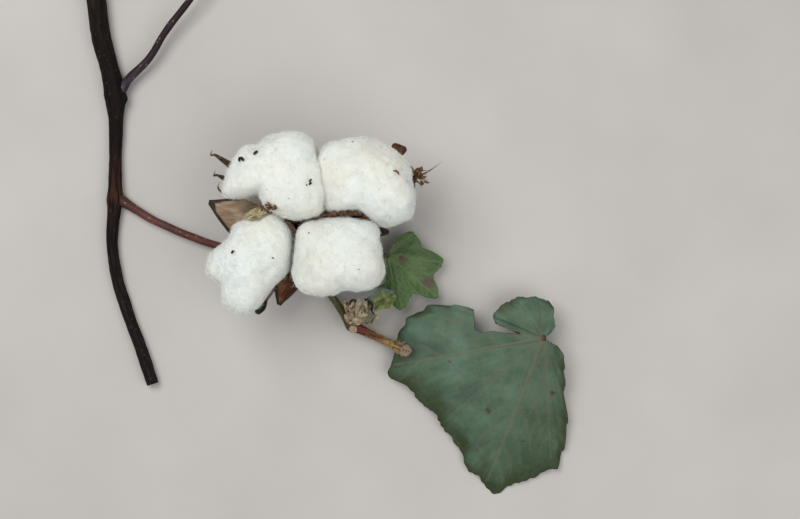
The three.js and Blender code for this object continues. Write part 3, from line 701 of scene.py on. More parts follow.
def lint_fibres(points, triangles, seed):
    """The shape of curled fibres all over a lock: most lie along its tufts, and some stand out as a halo."""
    draw = np.random.default_rng(seed)
    corners = points[triangles]
    normals = np.cross(corners[:, 1] - corners[:, 0], corners[:, 2] - corners[:, 0])
    areas = np.linalg.norm(normals, axis=1)
    chosen = draw.choice(len(triangles), FIBRE_COUNT, p=areas / areas.sum())
    roots = (corners[chosen] * draw.dirichlet((1, 1, 1), FIBRE_COUNT)[:, :, None]).sum(1)
    out = unit(normals[chosen])
    combed = np.stack([ripple(roots, 7, seed + k) for k in range(3)], -1)
    comb = combed + draw.normal(0, 1.2, (FIBRE_COUNT, 3))
    along = unit(comb - out * (comb * out).sum(1, keepdims=True))
    aside = np.cross(out, along)
    one_each = (FIBRE_COUNT, 1)
    length = draw.uniform(1.5, 4, one_each)
    loose = draw.random(one_each) < LOOSE_SHARE
    lift = np.where(loose, draw.gamma(3, 0.22, one_each), draw.gamma(2, 0.12, one_each))
    curl = draw.uniform(0.15, 0.7, one_each)
    turns = draw.uniform(3, 9, one_each)
    start = draw.uniform(0, 2 * math.pi, one_each)
    t = np.linspace(0, 1, FIBRE_STEPS)
    run = length * (t - 0.5)
    arch = np.where(loose, t**1.6, np.sin(math.pi * t))
    height = lift * arch - run**2 / 34 + 0.25 * curl * np.cos(turns * t + start)
    sway = curl * np.sin(turns * t + start)
    paths = roots[:, None] + along[:, None] * run[..., None] + aside[:, None] * sway[..., None]
    return ribbons(paths + out[:, None] * height[..., None], FIBRE_WIDTH, draw)


def lint_material(name, stops):
    """Cotton fibre: bright white cellulose, fully matt, with a soft sheen, creamier in places."""
    material, tree, shader = finish(name, 0.95, 1.5)
    shader.inputs["Sheen Weight"].default_value = 0.25
    shader.inputs["Specular IOR Level"].default_value = 0.2
    tint = add(tree, "ValToRGB", {"stops": stops}, {"Fac": clouds(tree, 20, 3.0)})
    feed(shader, tint, clouds(tree, 0.35, 4.0), 0.1)
    return material, shader


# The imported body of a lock: fibres by the thousand that scatter light through each other.
body_stops = [(0.35, "#eeede3"), (0.55, "#eff1ea"), (0.75, "#ecf1ee")]
lint_body, shader = lint_material("packed_cotton_lint", body_stops)
shader.inputs["Subsurface Weight"].default_value = 0.7
shader.inputs["Subsurface Radius"].default_value = (1.0, 1.0, 1.0)
shader.inputs["Subsurface Scale"].default_value = 3 * MM
# Single fibres, drawn 0.07 mm wide where a real one is about 0.02 mm, so that they show.
fibre_stops = [(0.35, "#f0efe6"), (0.55, "#f2f4ee"), (0.75, "#eff4f1")]
lint_fibre, _ = lint_material("loose_cotton_fibre", fibre_stops)
ways, triangles = directions(6)
lint_points = []
for seed, name in enumerate(LOCKS):
    core = lock_core(name, ways)
    piece("lint_" + name, (core, triangles), [lint_body], "lint", "lock_" + name)
    piece("fibres_" + name, lint_fibres(core, triangles, 131 + 5 * seed), [lint_fibre], "lint")
    lint_points.append(core)
lint_surface = BVHTree.FromPolygons(
    np.concatenate(lint_points).tolist(),
    np.concatenate([triangles + i * len(ways) for i in range(len(LOCKS))]).tolist(),
)


# Trash. Specks of crumbled leaf and bract that wind has left on the lint, crumbs of husk at the open valve's
# foot, and one curled bit of tooth. They lie loose on the fibres and are caught in them.
CAMERA_AT = np.array([38.5, -16, 545])  # above the floor, looking straight down
SPECKS = [
    (-25.6, 24.6, 1.9), (-24.6, 24.2, 1.5), (-25.9, 23.9, 1.3), (-19.6, 26.9, 1.7), (-19.0, 27.3, 1.1),
    (2.4, 15.6, 1.3), (2.5, 14.6, 1.4), (1.1, 13.9, 0.8), (-28.9, -13.0, 1.4), (-28.2, -12.6, 1.0),
    (-12.4, -15.4, 0.8), (1.9, -5.3, 0.7), (19.5, 31.2, 0.8), (8.0, 24.0, 0.4), (-6.0, 8.5, 0.5),
    (22.0, -20.0, 0.5), (-15.0, 12.0, 0.4), (30.0, 12.0, 0.4),
]  # x and y as seen at SPECK_LEVEL, and width
CRUMBS = [(-14.6, 5.2, 1.5, 26), (-12.2, 4.9, 0.8, 8), (-16.6, 5.6, 1.0, 8)]  # x, y, spread and count
SPECK_LEVEL, CRUMB_LEVEL, SCALE_SIDES = 50, 44, 7
CURLED_BIT = [(35.9, 19.5, 0.25), (36.9, 19.5, 0.4), (37.7, 18.9, 0.4), (38, 18, 0.2)]  # x, y and radius


def flakes(middles, widths, tilt, seed):
    """The shape of torn scales, each a bent closed disc with an uneven edge, tilted at random."""
    draw = np.random.default_rng(seed)
    points, faces = [], []
    for middle, width in zip(middles, widths):
        facing = unit(draw.normal(size=3) * tilt + (0, 0, 1))
        east = unit(np.cross(facing, draw.normal(size=3)))
        north = np.cross(facing, east)
        turns = (np.arange(SCALE_SIDES) + draw.uniform(-0.35, 0.35, SCALE_SIDES)) * 2 * math.pi / SCALE_SIDES
        radii = width / 2 * draw.uniform(0.6, 1.3, SCALE_SIDES)[:, None]
        rim = radii * (east * np.cos(turns)[:, None] * 1.3 + north * np.sin(turns)[:, None] * 0.8)
        rim = rim + facing * (0.15 * width * np.cos(2 * turns))[:, None]
        foot = len(points)
        points += [*(middle + rim), middle + facing * 0.12 * width, middle - facing * 0.06 * width]
        for i in range(SCALE_SIDES):
            start, end, top = foot + i, foot + (i + 1) % SCALE_SIDES, foot + SCALE_SIDES
            faces += [[start, end, top], [end, start, top + 1]]
    return np.array(points), faces


def on_lint(x, y, level, lift):
    """The place on the lint that is seen at x and y, lifted towards the eye."""
    way = unit(np.array([x, y, level]) - CAMERA_AT)
    hit = lint_surface.ray_cast(CAMERA_AT.tolist(), way.tolist())[0]
    return (np.array(hit) if hit else np.array([x, y, level])) - way * lift


# Crumbled dead leaf: almost black, matt and rough.
trash_stops = [(0.4, "#1d1610"), (0.6, "#33281c"), (0.8, "#5c4c34")]
trash_tissue = dry_tissue("crumbled_leaf_trash", trash_stops, size=0.6, roughness=0.9, depth=0.1)
places = [on_lint(x, y, SPECK_LEVEL, 1.3 + 0.3 * width) for x, y, width in SPECKS]
specks = flakes(places, [width for _, _, width in SPECKS], tilt=0.2, seed=151)
piece("leaf_trash", specks, [trash_tissue], "dry_bract")
# Crumbs of husk and torn bract: warm brown, lighter on their broken faces.
crumb_stops = [(0.35, "#4a2f1c"), (0.55, "#7a5230"), (0.75, "#a07a50")]
crumb_tissue = dry_tissue("husk_crumb_tissue", crumb_stops, size=0.8, roughness=0.85, depth=0.1)
draw = np.random.default_rng(152)
places = []
for x, y, spread, count in CRUMBS:
    for aside, along in draw.normal(0, spread, (count, 2)):
        places.append(on_lint(x + aside, y + 0.5 * along, CRUMB_LEVEL, draw.uniform(0.2, 1.6)))
crumbs = flakes(places, draw.uniform(0.7, 2, len(places)), tilt=0.5, seed=153)
piece("husk_crumbs", crumbs, [crumb_tissue], "husk")
curl_stops = [(*on_lint(x, y, SPECK_LEVEL, 1.5), radius) for x, y, radius in CURLED_BIT]
curled_bit = limb(curl_stops, twig_relief(155), sides=10, pace=0.2)[:2]
piece("curled_bit", curled_bit, [crumb_tissue], "dry_bract")

# What is left of the boll's inner skin: a cream-yellow flap, thin and dull, curled at the open valve's foot.
MEMBRANE_FOOT, MEMBRANE_TIP = np.array([-14.2, 4.2, 44]), np.array([-25.4, 1, 40])
MEMBRANE_WIDTH, MEMBRANE_THICK = 4.8, 0.25
membrane_stops = [(0.36, "#75683f"), (0.5, "#978b63"), (0.66, "#c6bc94")]
membrane_skin = dry_tissue("dried_inner_membrane", membrane_stops, size=2.0, roughness=0.65, depth=0.25)
u, v = np.meshgrid(np.linspace(0, 1, 60), np.linspace(-1, 1, 24))
aside = unit(np.cross((0, 0, 1), unit(MEMBRANE_TIP - MEMBRANE_FOOT)))
torn = 1 + 0.22 * ripple(np.stack([12 * u, 3 * np.sign(v), 0 * u], -1), 2, 156)
middles = MEMBRANE_FOOT + (MEMBRANE_TIP - MEMBRANE_FOOT) * u[..., None]
middles = middles + aside * (v * MEMBRANE_WIDTH / 2 * np.sin(0.45 + 2.2 * u) * torn)[..., None]
under = [lint_surface.ray_cast((x, y, 80), (0, 0, -1))[0] for x, y, _ in middles.reshape(-1, 3)]
top = np.array([hit[2] if hit else 0 for hit in under]).reshape(u.shape) + 0.9
middles[..., 2] = np.maximum(middles[..., 2], top) + 0.5 * ripple(middles, 2.2, 154) + 0.8 * v * np.abs(v)
piece("inner_membrane", sheet(middles, MEMBRANE_THICK), [membrane_skin], "husk")


# Bracts. Three leafy scales that once wrapped the flower bud, now dry, brown and curled, with long pointed
# teeth. They are joined to the boll's stalk under the calyx, and two of them belly down to the floor.
BUR_RADIUS = 6.3
BRACTS = {
    "left": (153, 26, 36, (3, 4, 13, 8, 4, 3, 3), (13, 6, 0.4, 8, 27)),
    "right": (30, 24, 36, (3, 3, 13, 4, 13, 4, 3), (13, 6, 0.4, 8, 29)),
    "lower": (240, 24, 30, (3, 3, 4, 12, 4, 3, 3), (13, 12.6, 12, 13, 15)),
}  # angle, half spread, reach to the foot of its teeth, the teeth's lengths, and heights from foot to tip


def bract(angle, spread, body, teeth, profile, seed):
    """The shape of a bract, thinner towards its teeth."""
    u, v = np.meshgrid(np.linspace(0, 1, 193), np.linspace(0, 1, 48))
    across, spans = 2 * u - 1, len(teeth) - 1
    tooth = np.array(teeth)[np.round(spans * u).astype(int)] * np.abs(np.cos(math.pi * spans * u)) ** 2.2
    edge = body * (1 - 0.2 * across**2) + tooth
    edge = edge * (1 + 0.03 * ripple(np.stack([u * 40, 0 * u, 0 * u], -1), 5, seed))
    out = BUR_RADIUS - 1.5 + (edge - BUR_RADIUS + 1.5) * v
    share = np.clip((out - BUR_RADIUS) / (body + max(teeth) - BUR_RADIUS), 0, 1.05)
    slope, _ = route([(i, 0, height, 1) for i, height in enumerate(profile)], 0.02)
    height = np.interp(share * (len(profile) - 1), slope[:, 0], slope[:, 2])
    turn = np.radians(angle + spread * across)
    middles = np.stack([out * np.cos(turn), out * np.sin(turn), height], -1)
    grain = np.stack([out, out * np.radians(spread) * across, 0 * out], -1)
    crumpled = 0.45 * ripple(grain, 5, seed + 1) + 0.2 * ripple(grain / (4, 1, 1), 1.4, seed + 2)
    middles[..., 2] += crumpled * rise(v, 0.1, 0.4) + 0.35
    return sheet(middles, 0.4 - 0.2 * v, grain=grain, reach=v)


# Dead leaf tissue: brown, brittle and ribbed along its veins, bleached to pale tan in the teeth.
bract_tissue, tree, shader = finish("brittle_bract_tissue", 0.85)
rib = grained(tree, (9, 0.9, 1), 5.0)
bract_stops = [(0.35, "#3a281b"), (0.5, "#58412d"), (0.66, "#776046")]
bract_tint = add(tree, "ValToRGB", {"stops": bract_stops}, {"Fac": rib})
reach = add(tree, "Attribute", {"attribute_name": "reach"}, {}, "Fac")
bleach = add(tree, "ValToRGB", {"stops": [(0.72, "#000000"), (0.98, "#cccccc")]}, {"Fac": reach})
feed(shader, add(tree, "Mix", COLOURS, {0: bleach, 6: bract_tint, 7: "#8f7b60"}, 2), rib, 0.2)
for seed, (name, sizes) in enumerate(BRACTS.items()):
    piece("bract_scale_" + name, bract(*sizes, 161 + 4 * seed), [bract_tissue], "dry_bract", "bract_" + name)

# Dried bits at the boll's edge: curled teeth, a tuft of torn spikes with one long thread, and two curled
# scales. They are the ends of the bracts' teeth, and most of them start on one.
TUFT_FOOT = (43.2, 17.5, 24)
SPIKES = [
    ([(-37.2, 26.7, 20.5), (-39.3, 28, 25.6), (-40.6, 27.8, 29), (-39.8, 29.7, 30.6)], 0.6),
    ([(-37.3, 19, 13), (-39.5, 20, 18), (-39.9, 19.5, 25), (-38.8, 21.2, 28.5)], 0.6),
    ([(-35.5, 11.7, 7.3), (-37.8, 12.6, 11), (-38.6, 14.6, 22), (-37.2, 16.4, 27.5)], 0.5),
    ([TUFT_FOOT, (43.4, 19.4, 28), (44, 21.4, 30), (43, 23, 30.5)], 0.7),
    ([TUFT_FOOT, (45, 18.4, 28), (48.2, 17.6, 29), (51, 16, 30)], 0.8),
    ([TUFT_FOOT, (43.8, 16.4, 27), (44.6, 14.6, 29), (43.4, 13, 29.5)], 0.6),
    ([TUFT_FOOT, (45.4, 19.6, 28), (47.6, 21, 30), (50, 21, 31)], 0.6),
    ([TUFT_FOOT, (44.6, 17.4, 28), (47, 15.4, 30), (47.4, 13.8, 31)], 0.5),
    ([(44, 18.6, 27), (48.4, 19.8, 29), (52, 21.8, 31), (56.3, 24.8, 33)], 0.4),
]  # stops, and radius at the foot
TUFT, TUFT_SPREAD, TUFT_COUNT = (46, 18.6, 29.5), (2, 1.6, 0.8), 24  # crumbs of torn scale among the spikes
RUSTY_SCALE = ((34.5, 29, 26.4), (41.2, 30.6, 28.2), 5.6, 1.8)  # foot, tip, width and depth of the curl
DARK_SCALE = ((-19.4, -31, 14.5), (-22.8, -39.4, 15.5), 5.4, 1.4)
SCALE_THICK = 0.3


def curled_scale(foot, tip, width, depth, seed):
    """The shape of a small dry scale, curled lengthwise and waved."""
    foot, tip = np.array(foot, float), np.array(tip, float)
    u, v = np.meshgrid(np.linspace(0, 1, 40), np.linspace(-1, 1, 22))
    ahead = unit(tip - foot)
    aside = unit(np.cross(ahead, (0, 0, 1)))
    raised = np.cross(aside, ahead)
    torn = ripple(np.stack([6 * u, 3 * np.sign(v), 0 * u], -1), 2, seed + 1)
    full = np.sin(0.35 + 2.55 * u) * (1 + 0.25 * torn)
    middles = foot + (tip - foot) * u[..., None] + aside * (v * width / 2 * full)[..., None]
    curl = depth * v**2 * full + 0.35 * np.sin(9 * u + 2 * v) + 0.3 * ripple(middles, 1.5, seed)
    return sheet(middles + raised * curl[..., None], SCALE_THICK)


points, faces = [], []
for seed, (stops, radius) in enumerate(SPIKES):
    tapered = [(*stop, radius * share) for stop, share in zip(stops, (1.2, 1, 0.6, 0.16))]
    spike, quads = limb(tapered, twig_relief(171 + seed), sides=10, pace=0.35)[:2]
    faces += [[i + len(points) for i in face] for face in quads]
    points += spike.tolist()
# Torn teeth: brittle and matt, pale tan with dark breaks.
spike_stops = [(0.35, "#4d3b2e"), (0.52, "#80694f"), (0.7, "#b8a586")]
spike_tissue = dry_tissue("torn_tooth_tissue", spike_stops, size=1.6, roughness=0.85, depth=0.15)
piece("dried_teeth", (points, faces), [spike_tissue], "dry_bract")
draw = np.random.default_rng(181)
places = np.array(TUFT) + draw.normal(0, 1, (TUFT_COUNT, 3)) * TUFT_SPREAD
tuft = flakes(places, draw.uniform(0.8, 2.4, TUFT_COUNT), tilt=0.6, seed=182)
piece("torn_scale_tuft", tuft, [crumb_tissue], "dry_bract")
# Rusty scale: dark red-brown and dull, orange where it is thin.
rusty_stops = [(0.36, "#25160e"), (0.5, "#4f3020"), (0.66, "#7b4c2b")]
rusty_tissue = dry_tissue("rusty_scale_tissue", rusty_stops, size=2, roughness=0.8, depth=0.2)
piece("rusty_scale", curled_scale(*RUSTY_SCALE, 183), [rusty_tissue], "dry_bract")
piece("dark_scale", curled_scale(*DARK_SCALE, 185), [husk_wall], "dry_bract")


# Dried bud. A flower bud that died at the second node: a crumpled tan lump in seven shrivelled scales,
# one more that is still half green, and two blackened hooks. It is joined to the node by its own dried stalk.
BUD_BALLS = [((22, -38.8, 13), 4.2), ((18.8, -36, 13.5), 2.8), ((26, -37.5, 13), 2.7), ((20.2, -42, 10.5), 3)]
BUD_CREASE = 0.9
BUD_SCALES = [
    ((19.6, -43, 10), (14.6, -33.6, 14.6), 4.6, 1.6),
    ((20.2, -43, 11.5), (17.4, -33, 17), 3.4, 1.2),
    ((21.4, -42, 13), (20.6, -32.6, 19), 3.4, 1.5),
    ((22, -42, 13), (24, -33.6, 19.5), 3.2, 1.6),
    ((22.4, -43, 11.5), (27.4, -34.4, 17), 3.6, 1.5),
    ((22.6, -43.4, 10.5), (29.4, -40, 14), 3.6, 1.2),
    ((18.6, -44, 9.5), (14.4, -39.6, 12.5), 2.6, 0.8),
]  # foot, tip, width and depth of the curl
GREEN_SCALE = ((24.6, -43.2, 13.4), (23.2, -34.6, 18.4), 4.4, 1)
HOOKS = [
    [
        (23.4, -32.8, 17, 0.3), (25.1, -34, 18.4, 0.5), (26.8, -35.6, 18.8, 0.6), (26.5, -38, 17.6, 0.35),
        (27.7, -39.7, 16, 0.2),
    ],
    [
        (17, -35.2, 16.6, 0.4), (17.5, -33.9, 18.2, 0.5), (18.6, -33.3, 18.8, 0.5), (19.7, -33.7, 18.6, 0.45),
        (20.2, -34.8, 17.4, 0.3),
    ],
]
ways, triangles = directions(5)
heart = np.array(BUD_BALLS[0][0])
total = 0
for middle, radius in BUD_BALLS:
    offset = np.array(middle) - heart
    along = ways @ offset
    inside = along**2 - offset @ offset + radius**2
    total = total + (inside > 0) * np.exp(BUD_CREASE * (along + np.sqrt(np.maximum(inside, 0))))
points = heart + ways * (np.log(total) / BUD_CREASE)[:, None]  # the balls blend where they meet
crumple = 0.7 * ripple(points, 2.4, 191) - 0.9 * np.abs(ripple(points / (1, 1.8, 1), 1.3, 192))
points = points + ways * (crumple - 0.7)[:, None]
# Dry bud tissue: tan and ribbed, with dark folds.
bud_stops = [(0.34, "#4a3c2e"), (0.46, "#96836a"), (0.62, "#c8b698")]
bud_tissue = dry_tissue("shrivelled_bud_tissue", bud_stops, size=1.6, roughness=0.85, depth=0.25)
piece("bud_lump", (points, triangles), [bud_tissue], "dry_bract", "dried_bud")
for seed, sizes in enumerate(BUD_SCALES):
    piece(f"bud_scale_{seed + 1}", curled_scale(*sizes, 193 + 2 * seed), [bud_tissue], "dry_bract")
# The half-dried scale: dull grey-green with paler patches.
green_stops = [(0.36, "#5a5c46"), (0.5, "#6e6f58"), (0.66, "#929077")]
green_tissue = dry_tissue("half_dried_scale", green_stops, size=2, roughness=0.8, depth=0.2)
piece("bud_green_scale", curled_scale(*GREEN_SCALE, 215), [green_tissue], "dry_bract")
# Blackened bits: nearly black, a little smoother than the rest.
black_stops = [(0.35, "#17110d"), (0.7, "#2c211a")]
black_tissue = dry_tissue("blackened_scale", black_stops, size=0.8, roughness=0.7, depth=0.1)
for seed, stops in enumerate(HOOKS):
    hook = limb(stops, twig_relief(211 + seed), sides=12, pace=0.3)[:2]
    piece(f"bud_hook_{seed + 1}", hook, [black_tissue], "dry_bract")


# Shrivelled leaflet. A young leaf that dried half open beside the bud, yellow-green and crinkled, greyer
# along its far edge. It grew out of the same node.
LEAFLET_FOOT, LEAFLET_LENGTH, LEAFLET_HALF, LEAFLET_THICK = (24, -36.4, 14.5), 13.5, 4.6, 0.28
LEAFLET_TURN = math.radians(26)  # from +X
u, v = np.meshgrid(np.linspace(0, 1, 80), np.linspace(0, 1, 46))
spread = 2 * v - 1
reach = LEAFLET_LENGTH * u
ragged = 1 + 0.22 * ripple(np.stack([reach, 4 * np.sign(spread), 0 * u], -1), 2, 221)
aside = spread * LEAFLET_HALF * np.sin(0.35 + 2.4 * u) * ragged
x = LEAFLET_FOOT[0] + reach * math.cos(LEAFLET_TURN) - aside * math.sin(LEAFLET_TURN)
y = LEAFLET_FOOT[1] + reach * math.sin(LEAFLET_TURN) + aside * math.cos(LEAFLET_TURN)
middles = np.stack([x, y, LEAFLET_FOOT[2] + 0.7 * np.sin(7 * u) * spread], -1)
crinkle = 0.5 * ripple(middles, 2.4, 222) + 0.25 * ripple(middles, 1.1, 223) + 0.7 * np.abs(spread) ** 2
middles[..., 2] += crinkle * rise(u, 0, 0.15) - 0.6 * np.exp(-((spread / 0.12) ** 2))
# Half-dry leaf: thin, dull yellow-green going to grey-blue where its underside shows.
leaflet_skin, tree, shader = finish("yellowed_leaflet", 0.65, 1.42)
leaflet_noise = clouds(tree, 3, 5.0)
leaflet_stops = [(0.35, "#545e38"), (0.52, "#757f4b"), (0.68, "#979c66")]
leaflet_tint = add(tree, "ValToRGB", {"stops": leaflet_stops}, {"Fac": leaflet_noise})
grey = add(tree, "Attribute", {"attribute_name": "grey"}, {}, "Fac")
feed(shader, add(tree, "Mix", COLOURS, {0: grey, 6: leaflet_tint, 7: "#667a6c"}, 2), leaflet_noise, 0.2)
leaflet = sheet(middles, LEAFLET_THICK, grey=rise(spread + 0.5 * ripple(middles, 4, 224), 0.1, 0.8))
piece("leaflet_blade", leaflet, [leaflet_skin], "yellow_leaf", "shrivelled_leaflet")


# Leaves. Two lobed blades, each joined to its stalk at one point from which the main veins run out like
# fingers. A blade is living tissue 0.4 mm thick that bulges between its veins and waves towards its edge.
JOIN_RADIUS = 1.3
LARGE_OUTLINE = [
    (30, 3.5, 15.5), (46, 7.5, 14), (62, 9.5, 13.5), (71, 14, 12), (82, 16, 11), (105, 18, 10.5),
    (128, 20.5, 10), (143, 22.5, 10), (156, 23.5, 10.5), (160, 41, 9), (165, 51, 8), (173, 59.5, 7),
    (183, 63.5, 6), (193, 69, 5), (202, 61, 5), (218, 57.5, 4), (233, 61, 3), (246, 67.5, 1.5),
    (253, 72, 0), (263, 64, 2), (277, 57.5, 2.3), (281, 51, 2.5), (287, 40, 4.5), (292, 26, 8),
    (304, 17, 10.5), (317, 12.5, 12), (330, 7, 15.5),
]  # bearing round the join, reach, and the edge's height
LARGE_CLEFT = [
    (69.2, -24), (70.8, -43.3), (70.4, -46.1), (74, -47.6), (78.4, -46.8), (90, -48.5), (90, -47.7),
    (80, -43.7), (78.8, -41.5), (80.5, -24),
]  # x and y round the narrow cleft between two lobes
SMALL_OUTLINE = [
    (-150, 8, 11), (-119, 13, 9.5), (-97, 16, 8), (-76, 24.5, 6.5), (-56, 20.5, 7), (-40, 28.5, 6.5),
    (-24, 22, 7), (-7, 24.5, 7), (14, 15.5, 8.5), (40, 15, 8.5), (62, 9, 10.5),
]
LARGE_VEINS = [
    (95, 0.85, 0.6), (125, 0.9, 0.7), (169, 0.9, 0.7), (191, 0.95, 1), (221, 0.9, 0.6), (250, 0.96, 1),
    (275, 0.92, 0.7), (300, 0.8, 0.4),
]  # bearing, share of the reach, and strength
SMALL_VEINS = [(-119, 0.85, 0.6), (-78, 0.92, 0.8), (-40, 0.95, 1), (-8, 0.92, 0.8), (38, 0.85, 0.6)]
SIDE_VEINS, SIDE_ANGLE, SIDE_BEND = (0.16, 0.3, 0.44, 0.58, 0.71, 0.83), math.radians(48), math.radians(6)
MAIN_STEPS, SIDE_STEPS = 10, 5
# Bearings at which the dark olive outer band widens, how far round that spreads, how many mm it adds, and how
# far round the painted shade spreads.
RIM_BEARING, RIM_SPREAD, RIM_EXTRA, SHADE_SPREAD = 272, 25, 20, 26
TIP_BEARING, TIP_SPREAD, TIP_EXTRA = 206, 18, 10


def leaf_edge(outline, bearings):
    """Reach and height of the leaf's edge at each bearing, eased from stop to stop."""
    stops = np.array(outline, float)
    after = np.clip(np.searchsorted(stops[:, 0], bearings, side="right"), 1, len(stops) - 1)
    start, end = stops[after - 1], stops[after]
    between = rise(bearings, start[..., 0], end[..., 0])[..., None]
    return np.moveaxis((start + (end - start) * between)[..., 1:], -1, 0)


def heading(turn):
    return np.array([math.cos(turn), math.sin(turn)])


def veins(outline, mains):
    """Vein segments round the join: start, end and half width in mm, and strength."""
    segments = []
    for bearing, share, strength in mains:
        total = share * float(leaf_edge(outline, np.array([bearing]))[0][0])
        coarse = 0.5 + total / 140
        turn = math.radians(bearing)
        spine = heading(turn) * total
        for i in range(MAIN_STEPS):
            width = (0.62 - 0.042 * i) * coarse
            segments.append((spine * i / MAIN_STEPS, spine * (i + 1) / MAIN_STEPS, width, strength))
        for at in SIDE_VEINS:
            for hand in (-1, 1):
                way = turn + hand * SIDE_ANGLE
                place, step = spine * (at + 0.02 * hand), total * (0.5 - 0.4 * at) / SIDE_STEPS
                for i in range(SIDE_STEPS):
                    ahead = place + step * heading(way)
                    segments.append((place, ahead, 0.1 + (0.36 - 0.04 * i) * coarse, strength * 0.5))
                    place, way = ahead, way - hand * SIDE_BEND
    return segments


def on_segment(flat, start, end):
    """The nearest place to each point on a segment."""
    along = end - start
    return start + np.clip(((flat - start) @ along) / (along @ along), 0, 1)[..., None] * along


def vein_share(flat, segments, widen):
    """How much each point belongs to a vein, from 0 to 1."""
    share = np.zeros(flat.shape[:2])
    for start, end, width, strength in segments:
        gap = np.linalg.norm(flat - on_segment(flat, start, end), axis=-1)
        share = np.maximum(share, strength * np.exp(-((gap / (width * widen)) ** 2)))
    return share


def cut_out(flat, corners):
    """Which points lie inside a closed outline, and all points with those ones moved to the outline."""
    x, y = flat[..., 0], flat[..., 1]
    within, nearest, gap = np.zeros(x.shape, bool), flat.copy(), np.full(x.shape, np.inf)
    for start, end in zip(corners, corners[1:] + corners[:1]):
        run = (y - start[1]) / (end[1] - start[1]) if end[1] != start[1] else 0 * y
        within ^= ((start[1] > y) != (end[1] > y)) & (x < start[0] + (end[0] - start[0]) * run)
        place = on_segment(flat, np.array(start), np.array(end))
        distance = np.linalg.norm(flat - place, axis=-1)
        nearest = np.where((distance < gap)[..., None], place, nearest)
        gap = np.minimum(gap, distance)
    return within, np.where(within[..., None], nearest, flat)


def blade(join, outline, mains, cleft, spots, columns, rows, fold, seed):
    """The shape of a leaf's blade, with marks of its veins, its outer band with a painted shade over one
    sector, and its spots.
    """
    bearings = np.linspace(outline[0][0], outline[-1][0], columns)[None, :]
    v = np.linspace(0, 1, rows)[:, None]
    reach, edge_height = leaf_edge(outline, bearings)
    scalloped = np.stack([bearings, 0 * bearings, 0 * bearings], -1)
    reach = reach * (1 + 0.016 * ripple(scalloped, 3, seed) + 0.008 * ripple(scalloped, 1.1, seed + 1))
    out = JOIN_RADIUS + (reach - JOIN_RADIUS) * v
    turn = np.radians(bearings)
    flat = np.stack([out * np.cos(turn), out * np.sin(turn)], -1)
    lines = veins(outline, mains)
    vein, stained, near = (vein_share(flat, lines, widen) for widen in (1.0, 2.2, 4.0))
    billow = fold * np.sin(math.pi * v) * np.cos(bearings * math.pi / 30)
    height = join[2] + (edge_height - join[2]) * v**1.3 + billow
    within, flat = cut_out(flat, [(x - join[0], y - join[1]) for x, y in cleft])
    kept = ~(within[:-1, :-1] & within[:-1, 1:] & within[1:, 1:] & within[1:, :-1])
    deep = np.stack([flat[..., 0], flat[..., 1], 0 * out], -1)
    waves = 0.5 * ripple(deep, 9, seed + 2) + rise(v, 0.75, 1) * 0.8 * ripple(deep, 6, seed + 3)
    bulge = 0.55 * (1 - near) + 0.14 * ripple(deep, 1.8, seed + 4) * (1 - near)
    height = height + (waves + bulge) * rise(out, 2, 9)
    middles = np.stack([join[0] + flat[..., 0], join[1] + flat[..., 1], np.maximum(height, 0.35)], -1)
    thickness = 0.38 + 0.9 * vein * (1 - 0.6 * v) - 0.12 * rise(v, 0.9, 1)
    band = 4 + RIM_EXTRA * np.exp(-(((bearings - RIM_BEARING) / RIM_SPREAD) ** 2))
    band = band + TIP_EXTRA * np.exp(-(((bearings - TIP_BEARING) / TIP_SPREAD) ** 2))
    rim = rise(out - reach + band + 3 * ripple(deep, 7, seed + 5), 0, band)
    # Painted shade: a broad sector round RIM_BEARING is darkened towards the band's colour, inside the band's
    # mark.
    shade = 0.55 * np.exp(-(((bearings - RIM_BEARING) / SHADE_SPREAD) ** 2)) * rise(v, 0.1, 0.6)
    rim = np.maximum(rim, shade)
    spot = np.zeros(out.shape)
    for x, y, width in spots:
        gap = np.hypot(middles[..., 0] - x, middles[..., 1] - y) * (1 + 0.3 * ripple(deep, 1.2, 271))
        spot = np.maximum(spot, 1 - rise(gap, 0.5 * width, width))
    return sheet(middles, thickness, kept, vein=stained, rim=rim, spot=spot)


def leaf_skin(name, field, rim, vein, spot, roughness, net):
    """Living leaf: field colours, an outer band that also carries painted shade, pale veins, spots, and a
    fine net of cells a few mm wide.
    """
    material, tree, shader = finish(name, roughness, 1.42)
    cloud = clouds(tree, 13, 5.0)
    colour = add(tree, "ValToRGB", {"stops": field}, {"Fac": cloud})
    band_and_painted_shade, veined, spotted = (
        add(tree, "Attribute", {"attribute_name": label}, {}, "Fac") for label in ("rim", "vein", "spot")
    )
    colour = add(tree, "Mix", COLOURS, {0: band_and_painted_shade, 6: colour, 7: rim}, 2)
    where = {"Vector": add(tree, "TexCoord", {}, {}, "Object"), "Scale": 1 / (net * MM)}
    cells = add(tree, "TexVoronoi", {"feature": "DISTANCE_TO_EDGE"}, where)
    netted = add(tree, "ValToRGB", {"stops": [(0.0, "#ffffff"), (0.12, "#000000")]}, {"Fac": cells})
    for share, strength in ((netted, 0.1), (veined, 0.6)):
        weak = add(tree, "Math", {"operation": "MULTIPLY"}, {0: share, 1: strength})
        colour = add(tree, "Mix", COLOURS, {0: weak, 6: colour, 7: vein}, 2)
    colour = add(tree, "Mix", COLOURS, {0: spotted, 6: colour, 7: spot}, 2)
    height = add(tree, "Math", {"operation": "MULTIPLY_ADD"}, {0: cells, 1: 0.8, 2: cloud})
    feed(shader, colour, height, 0.35)
    return material


LARGE_SPOTS = [
    (76.6, -81.5, 1.5), (104.2, -73.6, 1.6), (85.6, -46.9, 1.3), (60, -60, 0.7), (92, -95, 0.8),
    (72, -99, 0.7), (48, -66, 0.6),
]  # x, y and reach
SMALL_SPOTS = [(39.4, -15.8, 2), (50.7, -25.7, 3), (45, -31, 1)]
